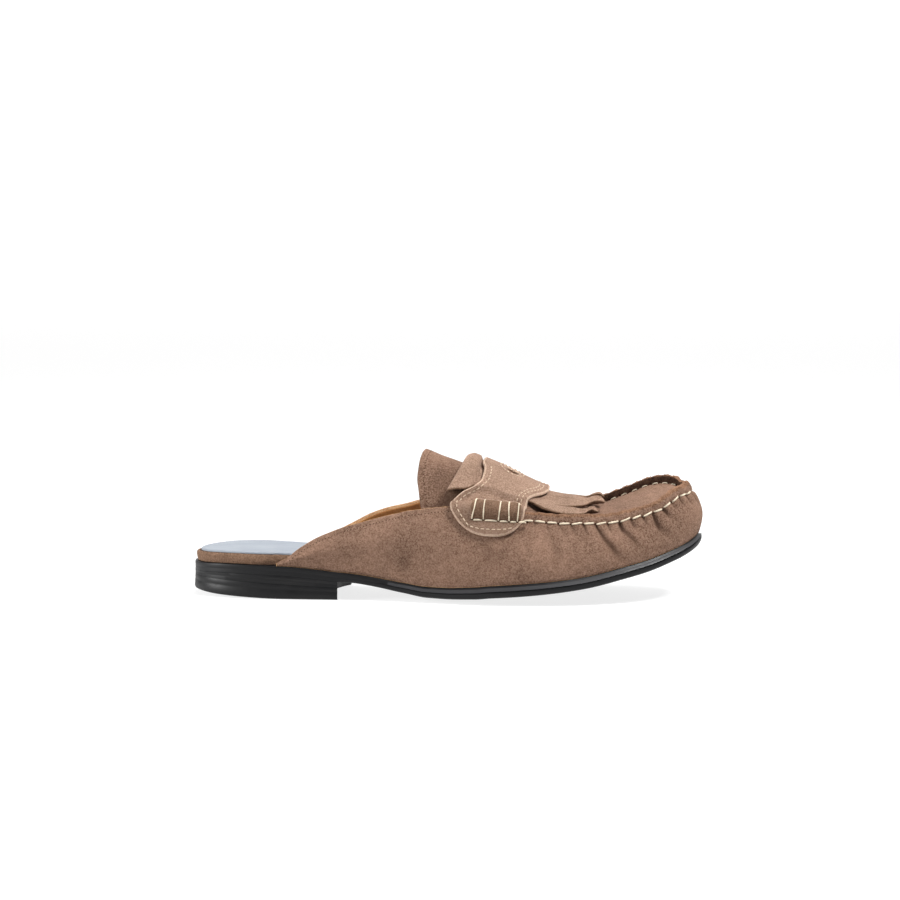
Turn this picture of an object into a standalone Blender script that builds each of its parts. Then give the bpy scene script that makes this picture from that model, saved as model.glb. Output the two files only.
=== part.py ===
import math

import bmesh
import bpy
import numpy as np

# Driving sizes in metres. X runs to the toe, Y to the inner side, Z up, and the
# origin lies on the floor under the heel.
SOLE_LENGTH = 0.292
BALL_WIDTH = 0.098
HEEL_REST = 0.062           # back of the sole to the middle of the heel's flat
HEEL_HEIGHT = 0.0142        # floor to the underside of the seat
HEEL_LENGTH = 0.087
BREAST_HOLLOW = 0.008       # how far the front of the heel curves back
HEEL_ROCKER = 0.0026        # rise of the worn back edge of the heel
ROCKER_LENGTH = 0.053
TOP_LIFT_FRONT = 0.0068
TOP_LIFT_BACK = 0.0112
TOE_SPRING = 0.0312
TREAD_CROWN = 0.0033        # how far the tread curls up to its edge
EDGE_THICKNESS = 0.0067
EDGE_GROOVE = 0.0005
FIT = 0.0003                # clearance between touching pieces

WALL = 0.0021               # suede and lining together
FEATHER_INSET = 0.0024      # sole edge to the foot of the upper's wall
QUARTER_HEIGHT = 0.045      # topline above the sole, beside the saddle
TOE_WALL = 0.032            # seam above the sole at the toe
WALL_BULGE = 0.0022
SEAM_HEIGHT = 0.005         # raised moccasin seam above the apron
SEAM_WIDTH = 0.0030
SEAM_LEAN = 24.0            # degrees that the seam leans inward
SEAM_FALL = 0.9             # share of the seam's height down to the apron
LEAST_WALL = 0.0012         # height of the wall at its back ends
INSTEP_RISE = 0.0255        # instep above the seam, at the throat
FOOTBED_THICKNESS = 0.0053
SOCK_THICKNESS = 0.0012
SOCK_INSET = 0.0010
EDGE_ROUND = 0.0004         # rounding of the sole's and the heel's edges
FOOTBED_ROUND = 0.0014
OPEN_INSET = 0.0013         # footbed inside the sole's edge where no wall covers it

TONGUE_THICKNESS = 0.0024
TONGUE_CLEARANCE = 0.0006
SADDLE_THICKNESS = 0.0024
SEAM_BRIDGE = 0.0008        # the saddle's clearance over the corner of the seam
ROLL_HEIGHT = 0.0032        # rolled edge above the saddle
ROLL_SPREAD = 0.088         # its half width, in places across
ROLL_PLACE = 1.12
ROLL_ENDS = 0.006           # length over which the rolled edge rises, as a share
SEAM_PLACE = 1.07           # where the saddle crosses the corner of the seam
SEAM_SPREAD = 0.14
TAB_START = 0.03            # places past the band where the saddle starts to come down
TAB_EASE = 0.10
CUTOUT_LENGTH = 0.0095
CUTOUT_WIDTH = 0.0135
KILTIE_THICKNESS = 0.0015
KILTIE_BULGE = 0.0048       # roll of the band behind the saddle
SLIT_WIDTH = 0.018          # of the band's half width

# Places along the shoe, as shares of the sole's length from the back
QUARTER_START = 0.179
QUARTER_START_INNER = 0.200
THROAT = 0.555
TOE_TURN = 0.80
SEAM_START = 0.655
SEAM_FULL = 0.695
HEEL_TURN = 0.10            # the ribs fan round the heel behind this
SLIT_START = 0.712
CUTOUT_PLACE = 0.621
ROLL_FRONT = 0.570
ROLL_LENGTH = 0.055
ROLL_SLANT = 0.029          # the roll's middle lies further forward than its ends
SADDLE_ROLL = (0.558, 0.652)

# Sole outline: share of the length, outer and inner half width as shares of the ball width
OUTLINE = (
    (0.017, 0.163, 0.163),
    (0.051, 0.260, 0.260),
    (0.103, 0.316, 0.314),
    (0.171, 0.342, 0.332),
    (0.274, 0.347, 0.316),
    (0.377, 0.362, 0.281),
    (0.445, 0.398, 0.276),
    (0.514, 0.449, 0.306),
    (0.582, 0.495, 0.378),
    (0.651, 0.515, 0.449),
    (0.719, 0.505, 0.485),
    (0.788, 0.464, 0.480),
    (0.856, 0.398, 0.448),
    (0.908, 0.316, 0.402),
    (0.952, 0.212, 0.334),
    (0.983, 0.100, 0.250),
)
TOE_TIP = 0.082             # the tip lies inward of the middle by this share

# Sole levels: share of the length, shares of heel height, toe spring, crown dip
# and crown, and thickness as a share of the edge thickness
SOLE = (
    (0.000, 0.944, 0.000, 0.00, 0.00, 0.73),
    (0.075, 1.000, 0.000, 0.00, 0.00, 0.75),
    (0.185, 0.950, 0.000, 0.00, 0.00, 0.76),
    (0.298, 0.725, 0.000, 0.00, 0.00, 0.78),
    (0.325, 0.660, 0.000, 0.00, 0.10, 0.76),
    (0.377, 0.420, 0.000, 0.00, 0.45, 0.78),
    (0.425, 0.155, 0.000, 0.00, 0.80, 0.84),
    (0.473, 0.000, 0.000, 0.15, 1.00, 0.88),
    (0.514, 0.000, 0.000, 0.24, 1.00, 0.92),
    (0.565, 0.000, 0.000, 0.10, 1.00, 0.99),
    (0.599, 0.000, 0.019, 0.00, 1.00, 1.02),
    (0.658, 0.000, 0.061, 0.00, 1.00, 1.03),
    (0.719, 0.000, 0.119, 0.00, 1.00, 1.00),
    (0.781, 0.000, 0.202, 0.00, 1.00, 0.98),
    (0.839, 0.000, 0.327, 0.00, 1.00, 0.98),
    (0.901, 0.000, 0.490, 0.00, 0.85, 0.98),
    (0.932, 0.000, 0.609, 0.00, 0.64, 0.99),
    (0.962, 0.000, 0.744, 0.00, 0.36, 0.99),
    (0.993, 0.000, 0.930, 0.00, 0.05, 0.99),
    (1.000, 0.000, 1.000, 0.00, 0.00, 0.97),
)

# Foot of the wall: share of the length, inset as a share of the feather inset,
# bulge as a share of the wall bulge
FEATHER = (
    (0.17, 0.55, 0.0),
    (0.25, 0.90, 0.3),
    (0.45, 1.00, 0.5),
    (0.85, 1.00, 0.7),
    (0.95, 0.80, 1.4),
    (1.00, 0.60, 1.9),
)

# Topline and seam in plan: share of the length of the outline's point, and the
# inset on the outer and the inner side as shares of the ball width
SEAM_PLAN = (
    (0.171, 0.018, 0.012),
    (0.205, 0.024, 0.016),
    (0.274, 0.030, 0.004),
    (0.342, 0.038, -0.012),
    (0.445, 0.058, -0.028),
    (0.514, 0.092, -0.016),
    (0.582, 0.128, 0.030),
    (0.651, 0.150, 0.085),
    (0.729, 0.161, 0.125),
    (0.800, 0.143, 0.130),
    (0.870, 0.120, 0.110),
    (0.940, 0.095, 0.090),
    (1.000, 0.082, 0.082),
)

# Topline height over the sole, back of the saddle: shares of the quarter height
TOPLINE = (
    (0.175, 0.03, 0.03),
    (0.199, 0.11, 0.03),
    (0.216, 0.21, 0.11),
    (0.234, 0.30, 0.21),
    (0.255, 0.395, 0.31),
    (0.279, 0.480, 0.39),
    (0.304, 0.560, 0.49),
    (0.339, 0.650, 0.63),
    (0.373, 0.745, 0.74),
    (0.408, 0.840, 0.83),
    (0.443, 0.925, 0.92),
    (0.480, 0.980, 0.98),
    (0.514, 1.000, 1.01),
    (0.565, 0.969, 0.99),
    (0.616, 0.907, 0.95),
    (0.654, 0.868, 0.91),
)

# Top of the raised seam over the sole, from the saddle to the toe: shares of the toe wall
SEAM_TOP = (
    (0.654, 1.220, 1.280),
    (0.690, 1.170, 1.210),
    (0.730, 1.100, 1.172),
    (0.757, 1.070, 1.152),
    (0.784, 1.032, 1.126),
    (0.808, 0.985, 1.138),
    (0.830, 0.953, 1.168),
    (0.863, 0.938, 1.215),
    (0.897, 0.930, 1.264),
    (0.911, 0.930, 1.255),
    (0.928, 0.970, 1.225),
    (0.952, 1.028, 1.130),
    (0.966, 1.000, 1.000),
)

# Instep above its edges, as a share of the instep rise
INSTEP = (
    (0.420, 1.690),
    (0.455, 1.560),
    (0.503, 1.270),
    (0.565, 1.000),
    (0.610, 0.790),
    (0.664, 0.520),
    (0.695, 0.430),
    (0.743, 0.330),
    (0.770, 0.225),
    (0.798, 0.130),
    (0.830, 0.070),
    (0.900, 0.020),
    (1.000, 0.000),
)

# Saddle: place across (0 middle, 1 seam, 2 sole), then its back and front edges along the shoe
SADDLE = (
    (0.00, 0.573, 0.694),
    (0.20, 0.571, 0.694),
    (0.40, 0.577, 0.688),
    (0.60, 0.576, 0.674),
    (0.71, 0.568, 0.666),
    (0.80, 0.553, 0.661),
    (0.86, 0.539, 0.659),
    (0.93, 0.527, 0.659),
    (1.04, 0.521, 0.658),
    (1.20, 0.533, 0.653),
    (1.28, 0.545, 0.645),
    (1.35, 0.563, 0.632),
    (1.385, 0.582, 0.616),
    (1.40, 0.600, 0.600),
)

# Tongue: place across, then its back and front edges along the shoe
TONGUE = (
    (0.00, 0.465, 0.592),
    (0.15, 0.461, 0.592),
    (0.35, 0.455, 0.592),
    (0.60, 0.451, 0.588),
    (0.75, 0.454, 0.545),
    (1.00, 0.460, 0.540),
    (1.25, 0.478, 0.535),
)

# Middle of the band's thickness from its inner end, round the roll, to the fringe:
# share of the length, share of the roll's bulge
BAND = (
    (0.5350, -0.33),
    (0.527, -0.33),
    (0.519, -0.22),
    (0.511, 0.22),
    (0.515, 0.62),
    (0.530, 0.87),
    (0.549, 0.88),
    (0.5600, 0.56),
    (0.5670, 0.27),
    (0.5760, 0.275),
    (0.616, 0.275),
    (0.650, 0.300),
    (0.695, 0.310),
    (0.736, 0.290),
    (0.770, 0.32),
    (0.805, 0.50),
)
BAND_WIDTH = (
    (0.505, 0.80),
    (0.548, 0.78),
    (0.561, 0.70),
    (0.572, 0.68),
    (0.63, 0.76),
    (0.67, 0.80),
    (0.72, 0.90),
    (0.80, 0.88),
)
FINGER_EDGES = (-0.70, -0.245, 0.245, 0.70)

SUEDE = (0.270, 0.190, 0.132)
SOLE_BLACK = (0.022, 0.022, 0.024)
SOCK_BLUE = (0.420, 0.480, 0.560)


def smooth(table, column, at):
    """Read one column of a table along its first one, without overshoot between its rows."""
    knots = np.array([row[0] for row in table])
    values = np.array([row[column] for row in table])
    steps = np.diff(knots)
    slopes = np.diff(values) / steps
    tangents = np.zeros(len(knots))
    tangents[0], tangents[-1] = slopes[0], slopes[-1]
    both = slopes[:-1] * slopes[1:]
    rising = both > 0
    mean = slopes[:-1] + slopes[1:]
    tangents[1:-1][rising] = 2 * both[rising] / mean[rising]
    at = np.clip(at, knots[0], knots[-1])
    left = np.clip(np.searchsorted(knots, at, side="right") - 1, 0, len(steps) - 1)
    step = steps[left]
    part = (at - knots[left]) / step
    rest = 1 - part
    return (values[left] * (1 + 2 * part) * rest ** 2
            + values[left + 1] * part ** 2 * (1 + 2 * rest)
            + step * part * rest * (tangents[left] * rest - tangents[left + 1] * part))


def closed_spline(points, samples):
    """Smooth closed curve through the points, sampled evenly between each pair."""
    points = np.array(points)
    chords = np.linalg.norm(np.roll(points, -1, axis=0) - points, axis=1)
    before = np.roll(chords, 1)
    count = len(points)
    system = np.zeros((count, count))
    for i in range(count):
        system[i, i] = 2 * (before[i] + chords[i])
        system[i, i - 1] += before[i]
        system[i, (i + 1) % count] += chords[i]
    ahead = (np.roll(points, -1, axis=0) - points) / chords[:, None]
    behind = np.roll(ahead, 1, axis=0)
    bends = np.linalg.solve(system, 6 * (ahead - behind))
    curve = []
    for i in range(count):
        j = (i + 1) % count
        for part in np.arange(samples) / samples:
            rest = 1 - part
            bow = chords[i] ** 2 / 6
            curve.append(rest * points[i] + part * points[j]
                         + bow * ((rest ** 3 - rest) * bends[i] + (part ** 3 - part) * bends[j]))
    return np.array(curve)


class Side:
    """One side of the sole's outline, from the back point to the tip of the toe."""

    def __init__(self, points, inward):
        self.points = points
        self.inward = inward
        steps = np.linalg.norm(np.diff(points, axis=0), axis=1)
        self.arcs = np.concatenate(([0.0], np.cumsum(steps)))

    def arc_at(self, share):
        return np.interp(share * SOLE_LENGTH, self.points[:, 0], self.arcs)

    def read(self, rows, arcs):
        return np.stack([np.interp(arcs, self.arcs, rows[:, k]) for k in range(2)], axis=1)


def make_sides():
    outer = [(along * SOLE_LENGTH, -across * BALL_WIDTH) for along, across, _ in OUTLINE]
    inner = [(along * SOLE_LENGTH, across * BALL_WIDTH) for along, _, across in OUTLINE]
    tip = (SOLE_LENGTH, TOE_TIP * BALL_WIDTH)
    samples = 24
    curve = closed_spline([(0.0, 0.0)] + outer + [tip] + inner[::-1], samples)
    tangents = np.roll(curve, -1, axis=0) - np.roll(curve, 1, axis=0)
    tangents /= np.linalg.norm(tangents, axis=1)[:, None]
    inward = np.stack((-tangents[:, 1], tangents[:, 0]), axis=1)
    turn = samples * (len(outer) + 1)
    back = np.concatenate((np.arange(turn, len(curve)), (0,)))[::-1]
    return Side(curve[:turn + 1], inward[:turn + 1]), Side(curve[back], inward[back])


OUTER, INNER = make_sides()


def edge_level(x, inward=0.0):
    """Underside of the outsole at x, where inward is 1 on the middle line and 0 at the edge."""
    share = x / SOLE_LENGTH
    middle = smooth(SOLE, 1, share) * HEEL_HEIGHT + smooth(SOLE, 2, share) * TOE_SPRING
    middle = middle - smooth(SOLE, 3, share) * TREAD_CROWN
    return middle + smooth(SOLE, 4, share) * TREAD_CROWN * (1 - inward)


def sole_top(x):
    return edge_level(x) + smooth(SOLE, 5, x / SOLE_LENGTH) * EDGE_THICKNESS


def stations(side, start, body, toe, end=1.0):
    """Arc lengths of the ribs: even along the shoe, then even round the toe."""
    turn = min(TOE_TURN, end)
    arcs = side.arc_at(np.linspace(start, turn, body + 1))
    if end < 1.0:
        return arcs
    return np.concatenate((arcs, np.linspace(arcs[-1], side.arcs[-1], toe + 1)[1:]))


def plan_ribs(inset, columns, counts, end=1.0):
    """Plan grid of ribs across the sole, inset from its outline, from the back to end."""
    edges = []
    for side in (OUTER, INNER):
        heel_arc = side.arc_at(HEEL_TURN)
        heel = np.linspace(0.0, heel_arc, counts[0] + 1)[:-1]
        arcs = np.concatenate((heel, stations(side, HEEL_TURN, counts[1], counts[2], end)))
        outline = side.read(side.points, arcs)
        depth = inset(outline[:, 0] / SOLE_LENGTH) if callable(inset) else inset
        edges.append(outline + side.read(side.inward, arcs) * np.reshape(depth, (-1, 1)))
    across = np.linspace(0.0, 1.0, columns)[None, :, None]
    ribs = edges[0][:, None, :] * (1 - across) + edges[1][:, None, :] * across
    return ribs


def crossing(plan):
    """1 on the middle line and 0 at both edges of each rib, and 0 where a rib closes to a point."""
    width = np.linalg.norm(plan[:, -1] - plan[:, 0], axis=1) / BALL_WIDTH
    return np.minimum(1.0, 8 * width)[:, None] * (1 - np.linspace(-1.0, 1.0, plan.shape[1]) ** 2)


def with_level(plan, level):
    return np.concatenate((plan, np.broadcast_to(level, plan.shape[:2])[:, :, None]), axis=2)


def rim(grid):
    """Boundary of a grid in order, down its first column and back up its last one."""
    return np.concatenate((grid[:, 0], grid[-1, 1:], grid[-2::-1, -1], grid[0, -2:0:-1]))


def grid_faces(grid, keep=None):
    rows, columns = grid.shape[:2]
    for i in range(rows - 1):
        for j in range(columns - 1):
            if keep is None or keep[i, j]:
                yield (grid[i, j], grid[i + 1, j], grid[i + 1, j + 1], grid[i, j + 1])


def loop_faces(first, second):
    for i in range(len(first)):
        j = (i + 1) % len(first)
        yield (first[i], first[j], second[j], second[i])


def slab_faces(layers):
    """Faces of a solid between its first and last layer, with a side row between each pair."""
    faces = list(grid_faces(layers[0])) + list(grid_faces(layers[-1]))
    for above, below in zip(layers, layers[1:]):
        faces += loop_faces(rim(above), rim(below))
    return faces


def shell_faces(outside, inside, keep, sewn_end=False):
    """Faces of a wall between two grids, closed along every open edge of the kept cells."""
    faces = list(grid_faces(outside, keep)) + list(grid_faces(inside, keep))
    rows, columns = keep.shape
    for i in range(rows):
        for j in range(columns):
            if not keep[i, j]:
                continue
            sides = (
                (i > 0 and keep[i - 1, j], (i, j), (i, j + 1)),
                (sewn_end if i == rows - 1 else keep[i + 1, j], (i + 1, j), (i + 1, j + 1)),
                (j > 0 and keep[i, j - 1], (i, j), (i + 1, j)),
                (j < columns - 1 and keep[i, j + 1], (i, j + 1), (i + 1, j + 1)),
            )
            for closed, a, b in sides:
                if not closed:
                    faces.append((outside[a], outside[b], inside[b], inside[a]))
    return faces


def surface_normals(grid, keep=None):
    """Upward and outward normals of a grid, shared where its points meet."""
    sums = {}
    for face in grid_faces(grid, keep):
        normal = np.cross(face[2] - face[0], face[3] - face[1])
        for point in face:
            key = tuple(np.round(point, 7))
            sums[key] = sums.get(key, 0) + normal
    normals = np.zeros_like(grid)
    for i in range(grid.shape[0]):
        for j in range(grid.shape[1]):
            total = sums.get(tuple(np.round(grid[i, j], 7)), np.array((0.0, 0.0, 1.0)))
            normals[i, j] = total / max(np.linalg.norm(total), 1e-12)
    return normals


def material(name, colour, roughness):
    made = bpy.data.materials.new(name)
    made.use_nodes = True
    shader = made.node_tree.nodes["Principled BSDF"]
    shader.inputs["Base Color"].default_value = (*colour, 1.0)
    shader.inputs["Roughness"].default_value = roughness
    shader.inputs["Metallic"].default_value = 0.0
    made.diffuse_color = (*colour, 1.0)
    return made


def add_solid(name, faces, parts, surface):
    """One closed mesh from faces whose corners meet, in the shoe's frame."""
    shell = bmesh.new()
    corners = {}
    for face in faces:
        ring = []
        for point in face:
            key = tuple(np.round(point, 6))
            if key not in corners:
                corners[key] = shell.verts.new((point[0] - HEEL_REST, point[1], point[2]))
            if corners[key] not in ring:
                ring.append(corners[key])
        if len(ring) > 2:
            shell.faces.new(ring)
    bmesh.ops.recalc_face_normals(shell, faces=shell.faces[:])
    mesh = bpy.data.meshes.new(name)
    shell.to_mesh(mesh)
    shell.free()
    mesh.shade_smooth()
    mesh.set_sharp_from_angle(angle=math.radians(38))
    mesh.materials.append(surface)
    made = bpy.data.objects.new(name, mesh)
    parts.objects.link(made)
    return made


def make_outsole(parts, surface):
    """Outsole: share of the edge from its top, and inset, down the side."""
    counts, columns = (5, 20, 8), 9
    side = (
        (0.00, EDGE_ROUND),
        (0.10, 0.0),
        (0.42, 0.0),
        (0.47, EDGE_GROOVE),
        (0.54, EDGE_GROOVE),
        (0.60, 0.0),
        (0.88, 0.7 * EDGE_ROUND),
        (1.00, 3 * EDGE_ROUND),
    )
    layers = []
    for share, inset in side:
        plan = plan_ribs(inset, columns, counts)
        x = plan[:, :, 0]
        top = sole_top(x)
        middle = crossing(plan) if share == 1.0 else 0.0
        level = top * (1 - share) + np.maximum(edge_level(x, middle), 0.0) * share
        layers.append(with_level(plan, level))
    return add_solid("outsole", slab_faces(layers), parts, surface)


def heel_plan(inset, columns):
    """Ribs of the heel, the last of them curved back as the breast."""
    end = HEEL_LENGTH / SOLE_LENGTH
    plan = plan_ribs(inset, columns, (5, 7, 0), end)
    reach = np.linspace(0.0, 1.0, plan.shape[0]) ** 3
    plan[:, :, 0] -= BREAST_HOLLOW * reach[:, None] * crossing(plan)
    return plan


def heel_floor(x):
    share = np.clip(1 - x / ROCKER_LENGTH, 0.0, 1.0)
    return HEEL_ROCKER * share ** 1.5


def lift_level(x):
    share = np.clip(x / HEEL_LENGTH, 0.0, 1.0)
    return TOP_LIFT_BACK + (TOP_LIFT_FRONT - TOP_LIFT_BACK) * share


def make_heel(parts, surface):
    columns = 7
    upper_plan = heel_plan(EDGE_ROUND, columns)
    edge = heel_plan(0.0, columns)
    lower_plan = heel_plan(EDGE_ROUND, columns)
    seat = edge_level(upper_plan[:, :, 0]) - FIT
    layers = [
        with_level(upper_plan, seat),
        with_level(edge, edge_level(edge[:, :, 0]) - FIT - EDGE_ROUND),
        with_level(edge, lift_level(edge[:, :, 0]) + FIT + EDGE_ROUND),
        with_level(lower_plan, lift_level(lower_plan[:, :, 0]) + FIT),
    ]
    return add_solid("heel", slab_faces(layers), parts, surface)


def make_top_lift(parts, surface):
    columns = 7
    rows = (
        (EDGE_ROUND, 0.0, 0.0),
        (0.0, EDGE_ROUND, 0.0),
        (-EDGE_ROUND, 0.0, 0.86),
        (-0.3 * EDGE_ROUND, 0.0, 0.95),
        (2.5 * EDGE_ROUND, 0.0, 1.0),
    )
    layers = []
    for inset, drop, share in rows:
        plan = heel_plan(inset, columns)
        x = plan[:, :, 0]
        level = (lift_level(x) - drop) * (1 - share) + heel_floor(x) * share
        layers.append(with_level(plan, level))
    return add_solid("top_lift", slab_faces(layers), parts, surface)


def footbed_inset(share):
    """Nearly flush round the open heel, inside the upper's wall further forward."""
    inside = FEATHER_INSET + WALL + 1.4 * FIT
    rows = (
        (0.0, OPEN_INSET),
        (0.125, OPEN_INSET),
        (0.155, 0.57 * inside),
        (0.172, 0.84 * inside),
        (0.205, inside),
        (1.0, inside),
    )
    return smooth(rows, 1, share)


def footbed_height(x):
    rows = (
        (0.0, 1.0),
        (0.21, 1.03),
        (0.31, 0.95),
        (0.41, 0.72),
        (0.52, 0.51),
        (1.0, 0.48),
    )
    return smooth(rows, 1, x / SOLE_LENGTH) * FOOTBED_THICKNESS


def make_footbed(parts, surface):
    counts, columns = (5, 15, 7), 5
    layers = []
    for share, turn in ((1.0, 1.0), (0.86, 0.3), (0.5, 0.0), (0.0, 0.2)):
        plan = plan_ribs(lambda place: footbed_inset(place) + turn * FOOTBED_ROUND, columns, counts)
        x = plan[:, :, 0]
        layers.append(with_level(plan, sole_top(x) + FIT + footbed_height(x) * share))
    return add_solid("footbed", slab_faces(layers), parts, surface)


def make_sock(parts, surface):
    counts, columns = (5, 15, 7), 5
    layers = []
    inner = FOOTBED_ROUND + SOCK_INSET
    for share, turn in ((1.0, 0.75), (0.7, 0.2), (0.0, 0.0)):
        inset = inner + turn * SOCK_THICKNESS
        plan = plan_ribs(lambda place: footbed_inset(place) + inset, columns, counts)
        x = plan[:, :, 0]
        level = sole_top(x) + footbed_height(x) + 2 * FIT + SOCK_THICKNESS * share
        layers.append(with_level(plan, level))
    return add_solid("sock", slab_faces(layers), parts, surface)


def seam_level(x, column):
    """Top of the quarter and of the raised seam; column 1 is the outer side, 2 the inner."""
    share = x / SOLE_LENGTH
    quarter = smooth(TOPLINE, column, share) * QUARTER_HEIGHT
    seam = smooth(SEAM_TOP, column, share) * TOE_WALL
    return sole_top(x) + np.where(share < SEAM_TOP[0][0], quarter, seam)


def seam_stand(share):
    """How far the raised seam stands over the apron: none under the saddle, full before it."""
    part = np.clip((share - SEAM_START) / (SEAM_FULL - SEAM_START), 0.0, 1.0)
    return part * part * (3 - 2 * part)


WALL_ROWS = 6
UPPER_RIBS = (24, 9, 14)    # along the body, round the toe, across the apron


def wall_side(side, arcs, column):
    """Rows of one side from the foot of the wall to the apron's edge, and the wall's top."""
    outline = side.read(side.points, arcs)
    inward = side.read(side.inward, arcs)
    share = outline[:, 0] / SOLE_LENGTH
    flat = np.concatenate((inward, np.zeros((len(arcs), 1))), axis=1)
    up = np.array((0.0, 0.0, 1.0))
    foot = outline + inward * (smooth(FEATHER, 1, share) * FEATHER_INSET)[:, None]
    foot = np.concatenate((foot, (sole_top(foot[:, 0]) + FIT)[:, None]), axis=1)
    crest = outline + inward * (smooth(SEAM_PLAN, column, share) * BALL_WIDTH)[:, None]
    crest = np.concatenate((crest, seam_level(crest[:, 0], column)[:, None]), axis=1)
    height = np.maximum(crest[:, 2] - foot[:, 2], LEAST_WALL)
    crest[:, 2] = foot[:, 2] + height
    lean = math.radians(SEAM_LEAN)
    rise = (up * math.cos(lean) + flat * math.sin(lean))
    drop = SEAM_HEIGHT * np.minimum(1.0, height / (3 * SEAM_HEIGHT))
    stitch = crest - rise * drop[:, None]
    bulge = (smooth(FEATHER, 2, share) * WALL_BULGE)[:, None]
    low = foot + up * (height * 0.48)[:, None] - flat * bulge
    high = stitch - rise * (height * 0.30)[:, None] - flat * bulge * 0.4
    rows = []
    for part in np.linspace(0.0, 1.0, WALL_ROWS):
        rest = 1 - part
        rows.append(rest ** 3 * foot + 3 * rest ** 2 * part * low
                    + 3 * rest * part ** 2 * high + part ** 3 * stitch)
    stand = seam_stand(crest[:, 0] / SOLE_LENGTH)[:, None]
    width = SEAM_WIDTH * np.minimum(1.0, height / (3 * SEAM_HEIGHT))[:, None]
    lip = crest + flat * width
    apron = lip - up * (SEAM_HEIGHT * SEAM_FALL) * stand
    middle_low = stitch + (apron - stitch) / 3
    middle_high = stitch + (apron - stitch) * 2 / 3
    inner_crest = crest * (1 - stand) + middle_low * stand
    inner_lip = lip * (1 - stand) + middle_high * stand
    return rows + [crest, lip, apron], rows + [inner_crest, inner_lip, apron], foot


def upper_grids(body, toe, across):
    """Outer grid of the upper with its raised seam, and the smooth one that its inside follows."""
    throat = int(round(body * (THROAT - QUARTER_START) / (TOE_TURN - QUARTER_START)))
    sides = []
    for side, start, column in ((OUTER, QUARTER_START, 1), (INNER, QUARTER_START_INNER, 2)):
        behind = side.arc_at(np.linspace(start, THROAT, throat + 1))[:-1]
        arcs = np.concatenate((behind, stations(side, THROAT, body - throat, toe)))
        sides.append(wall_side(side, arcs, column))
    outer, inner = sides
    left, right = outer[0][-1], inner[0][-1]
    share = (left[:, 0] + right[:, 0]) / 2 / SOLE_LENGTH
    rise = smooth(INSTEP, 1, share) * INSTEP_RISE
    rise = rise - SEAM_HEIGHT * SEAM_FALL * (1 - seam_stand(share))
    apron = []
    for place in np.linspace(-1.0, 1.0, across + 1)[1:-1]:
        turned = math.sin(place * math.pi / 2 * 0.96) / math.sin(math.pi / 2 * 0.96)
        mix = (1 + turned) / 2
        points = left * (1 - mix) + right * mix
        points[:, 2] += rise * (1 - turned ** 2) ** 0.75
        apron.append(points)
    stacked = [np.stack(outer[k] + apron + inner[k][::-1], axis=1) for k in (0, 1)]
    return stacked[0], stacked[1], throat


def kept_cells(rows, columns, throat):
    keep = np.ones((rows - 1, columns - 1), dtype=bool)
    keep[:throat, WALL_ROWS:columns - 1 - WALL_ROWS] = False
    return keep


def make_upper(parts, surface):
    outside, base, throat = upper_grids(*UPPER_RIBS)
    keep = kept_cells(*outside.shape[:2], throat)
    normals = surface_normals(base, keep)
    for column in (0, -1):
        normals[:, column, 2] = 0.0
        normals[:, column] /= np.linalg.norm(normals[:, column], axis=1)[:, None]
    inside = base - normals * WALL
    inside[:, (0, -1), 2] = base[:, (0, -1), 2]
    return add_solid("upper", shell_faces(outside, inside, keep, sewn_end=True), parts, surface)


class Instep:
    """The upper's surface from wall to wall, read by place across and place along.

    Across, 0 is the middle line, 1 the edge of the apron and 2 the foot of the wall,
    negative on the outer side. Along is a share of the sole's length.
    """

    def __init__(self):
        outside, _, _ = upper_grids(*UPPER_RIBS)
        places = outside[:, 0, 0] / SOLE_LENGTH
        rows = np.flatnonzero((places > 0.38) & (places < 0.86))
        wall = WALL_ROWS + 1
        columns = list(range(wall)) + list(range(wall + 1, outside.shape[1] - wall - 1))
        columns += list(range(outside.shape[1] - wall, outside.shape[1]))
        sheet = outside[rows][:, columns]
        middle = sheet.shape[1] // 2
        self.across = np.linspace(-2.0, 2.0, 161)
        self.points = np.stack([self.even(rib, wall, middle) for rib in sheet])
        along = np.gradient(self.points, axis=0)
        sideways = np.gradient(self.points, axis=1)
        self.normals = np.cross(along, sideways)
        self.normals /= np.linalg.norm(self.normals, axis=2)[:, :, None]

    def even(self, rib, wall, middle):
        steps = np.linalg.norm(np.diff(rib, axis=0), axis=1)
        arcs = np.concatenate(([0.0], np.cumsum(steps)))
        marks = [arcs[0], arcs[wall], arcs[middle], arcs[-1 - wall], arcs[-1]]
        reach = np.interp(self.across, (-2.0, -1.0, 0.0, 1.0, 2.0), marks)
        return np.stack([np.interp(reach, arcs, rib[:, k]) for k in range(3)], axis=1)

    def at(self, across, along, lift):
        """Point over the surface, lifted along its normal."""
        place = np.clip((across + 2.0) / 4.0 * 160, 0, 159.999)
        column = int(place)
        part = place - column
        points = self.points[:, column] * (1 - part) + self.points[:, column + 1] * part
        normals = self.normals[:, column] * (1 - part) + self.normals[:, column + 1] * part
        x = along * SOLE_LENGTH
        point = np.array([np.interp(x, points[:, 0], points[:, k]) for k in range(3)])
        normal = np.array([np.interp(x, points[:, 0], normals[:, k]) for k in range(3)])
        return point + normal / np.linalg.norm(normal) * lift


def make_tongue(parts, surface, instep):
    top = -(WALL + TONGUE_CLEARANCE)
    across = np.linspace(-1.25, 1.25, 25)
    outside, inside = [], []
    for place in across:
        along = np.linspace(smooth(TONGUE, 1, abs(place)), smooth(TONGUE, 2, abs(place)), 9)
        outside.append([instep.at(place, share, top) for share in along])
        inside.append([instep.at(place, share, top - TONGUE_THICKNESS) for share in along])
    keep = np.ones((len(across) - 1, 8), dtype=bool)
    return add_solid("tongue", shell_faces(np.array(outside), np.array(inside), keep), parts, surface)


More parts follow.
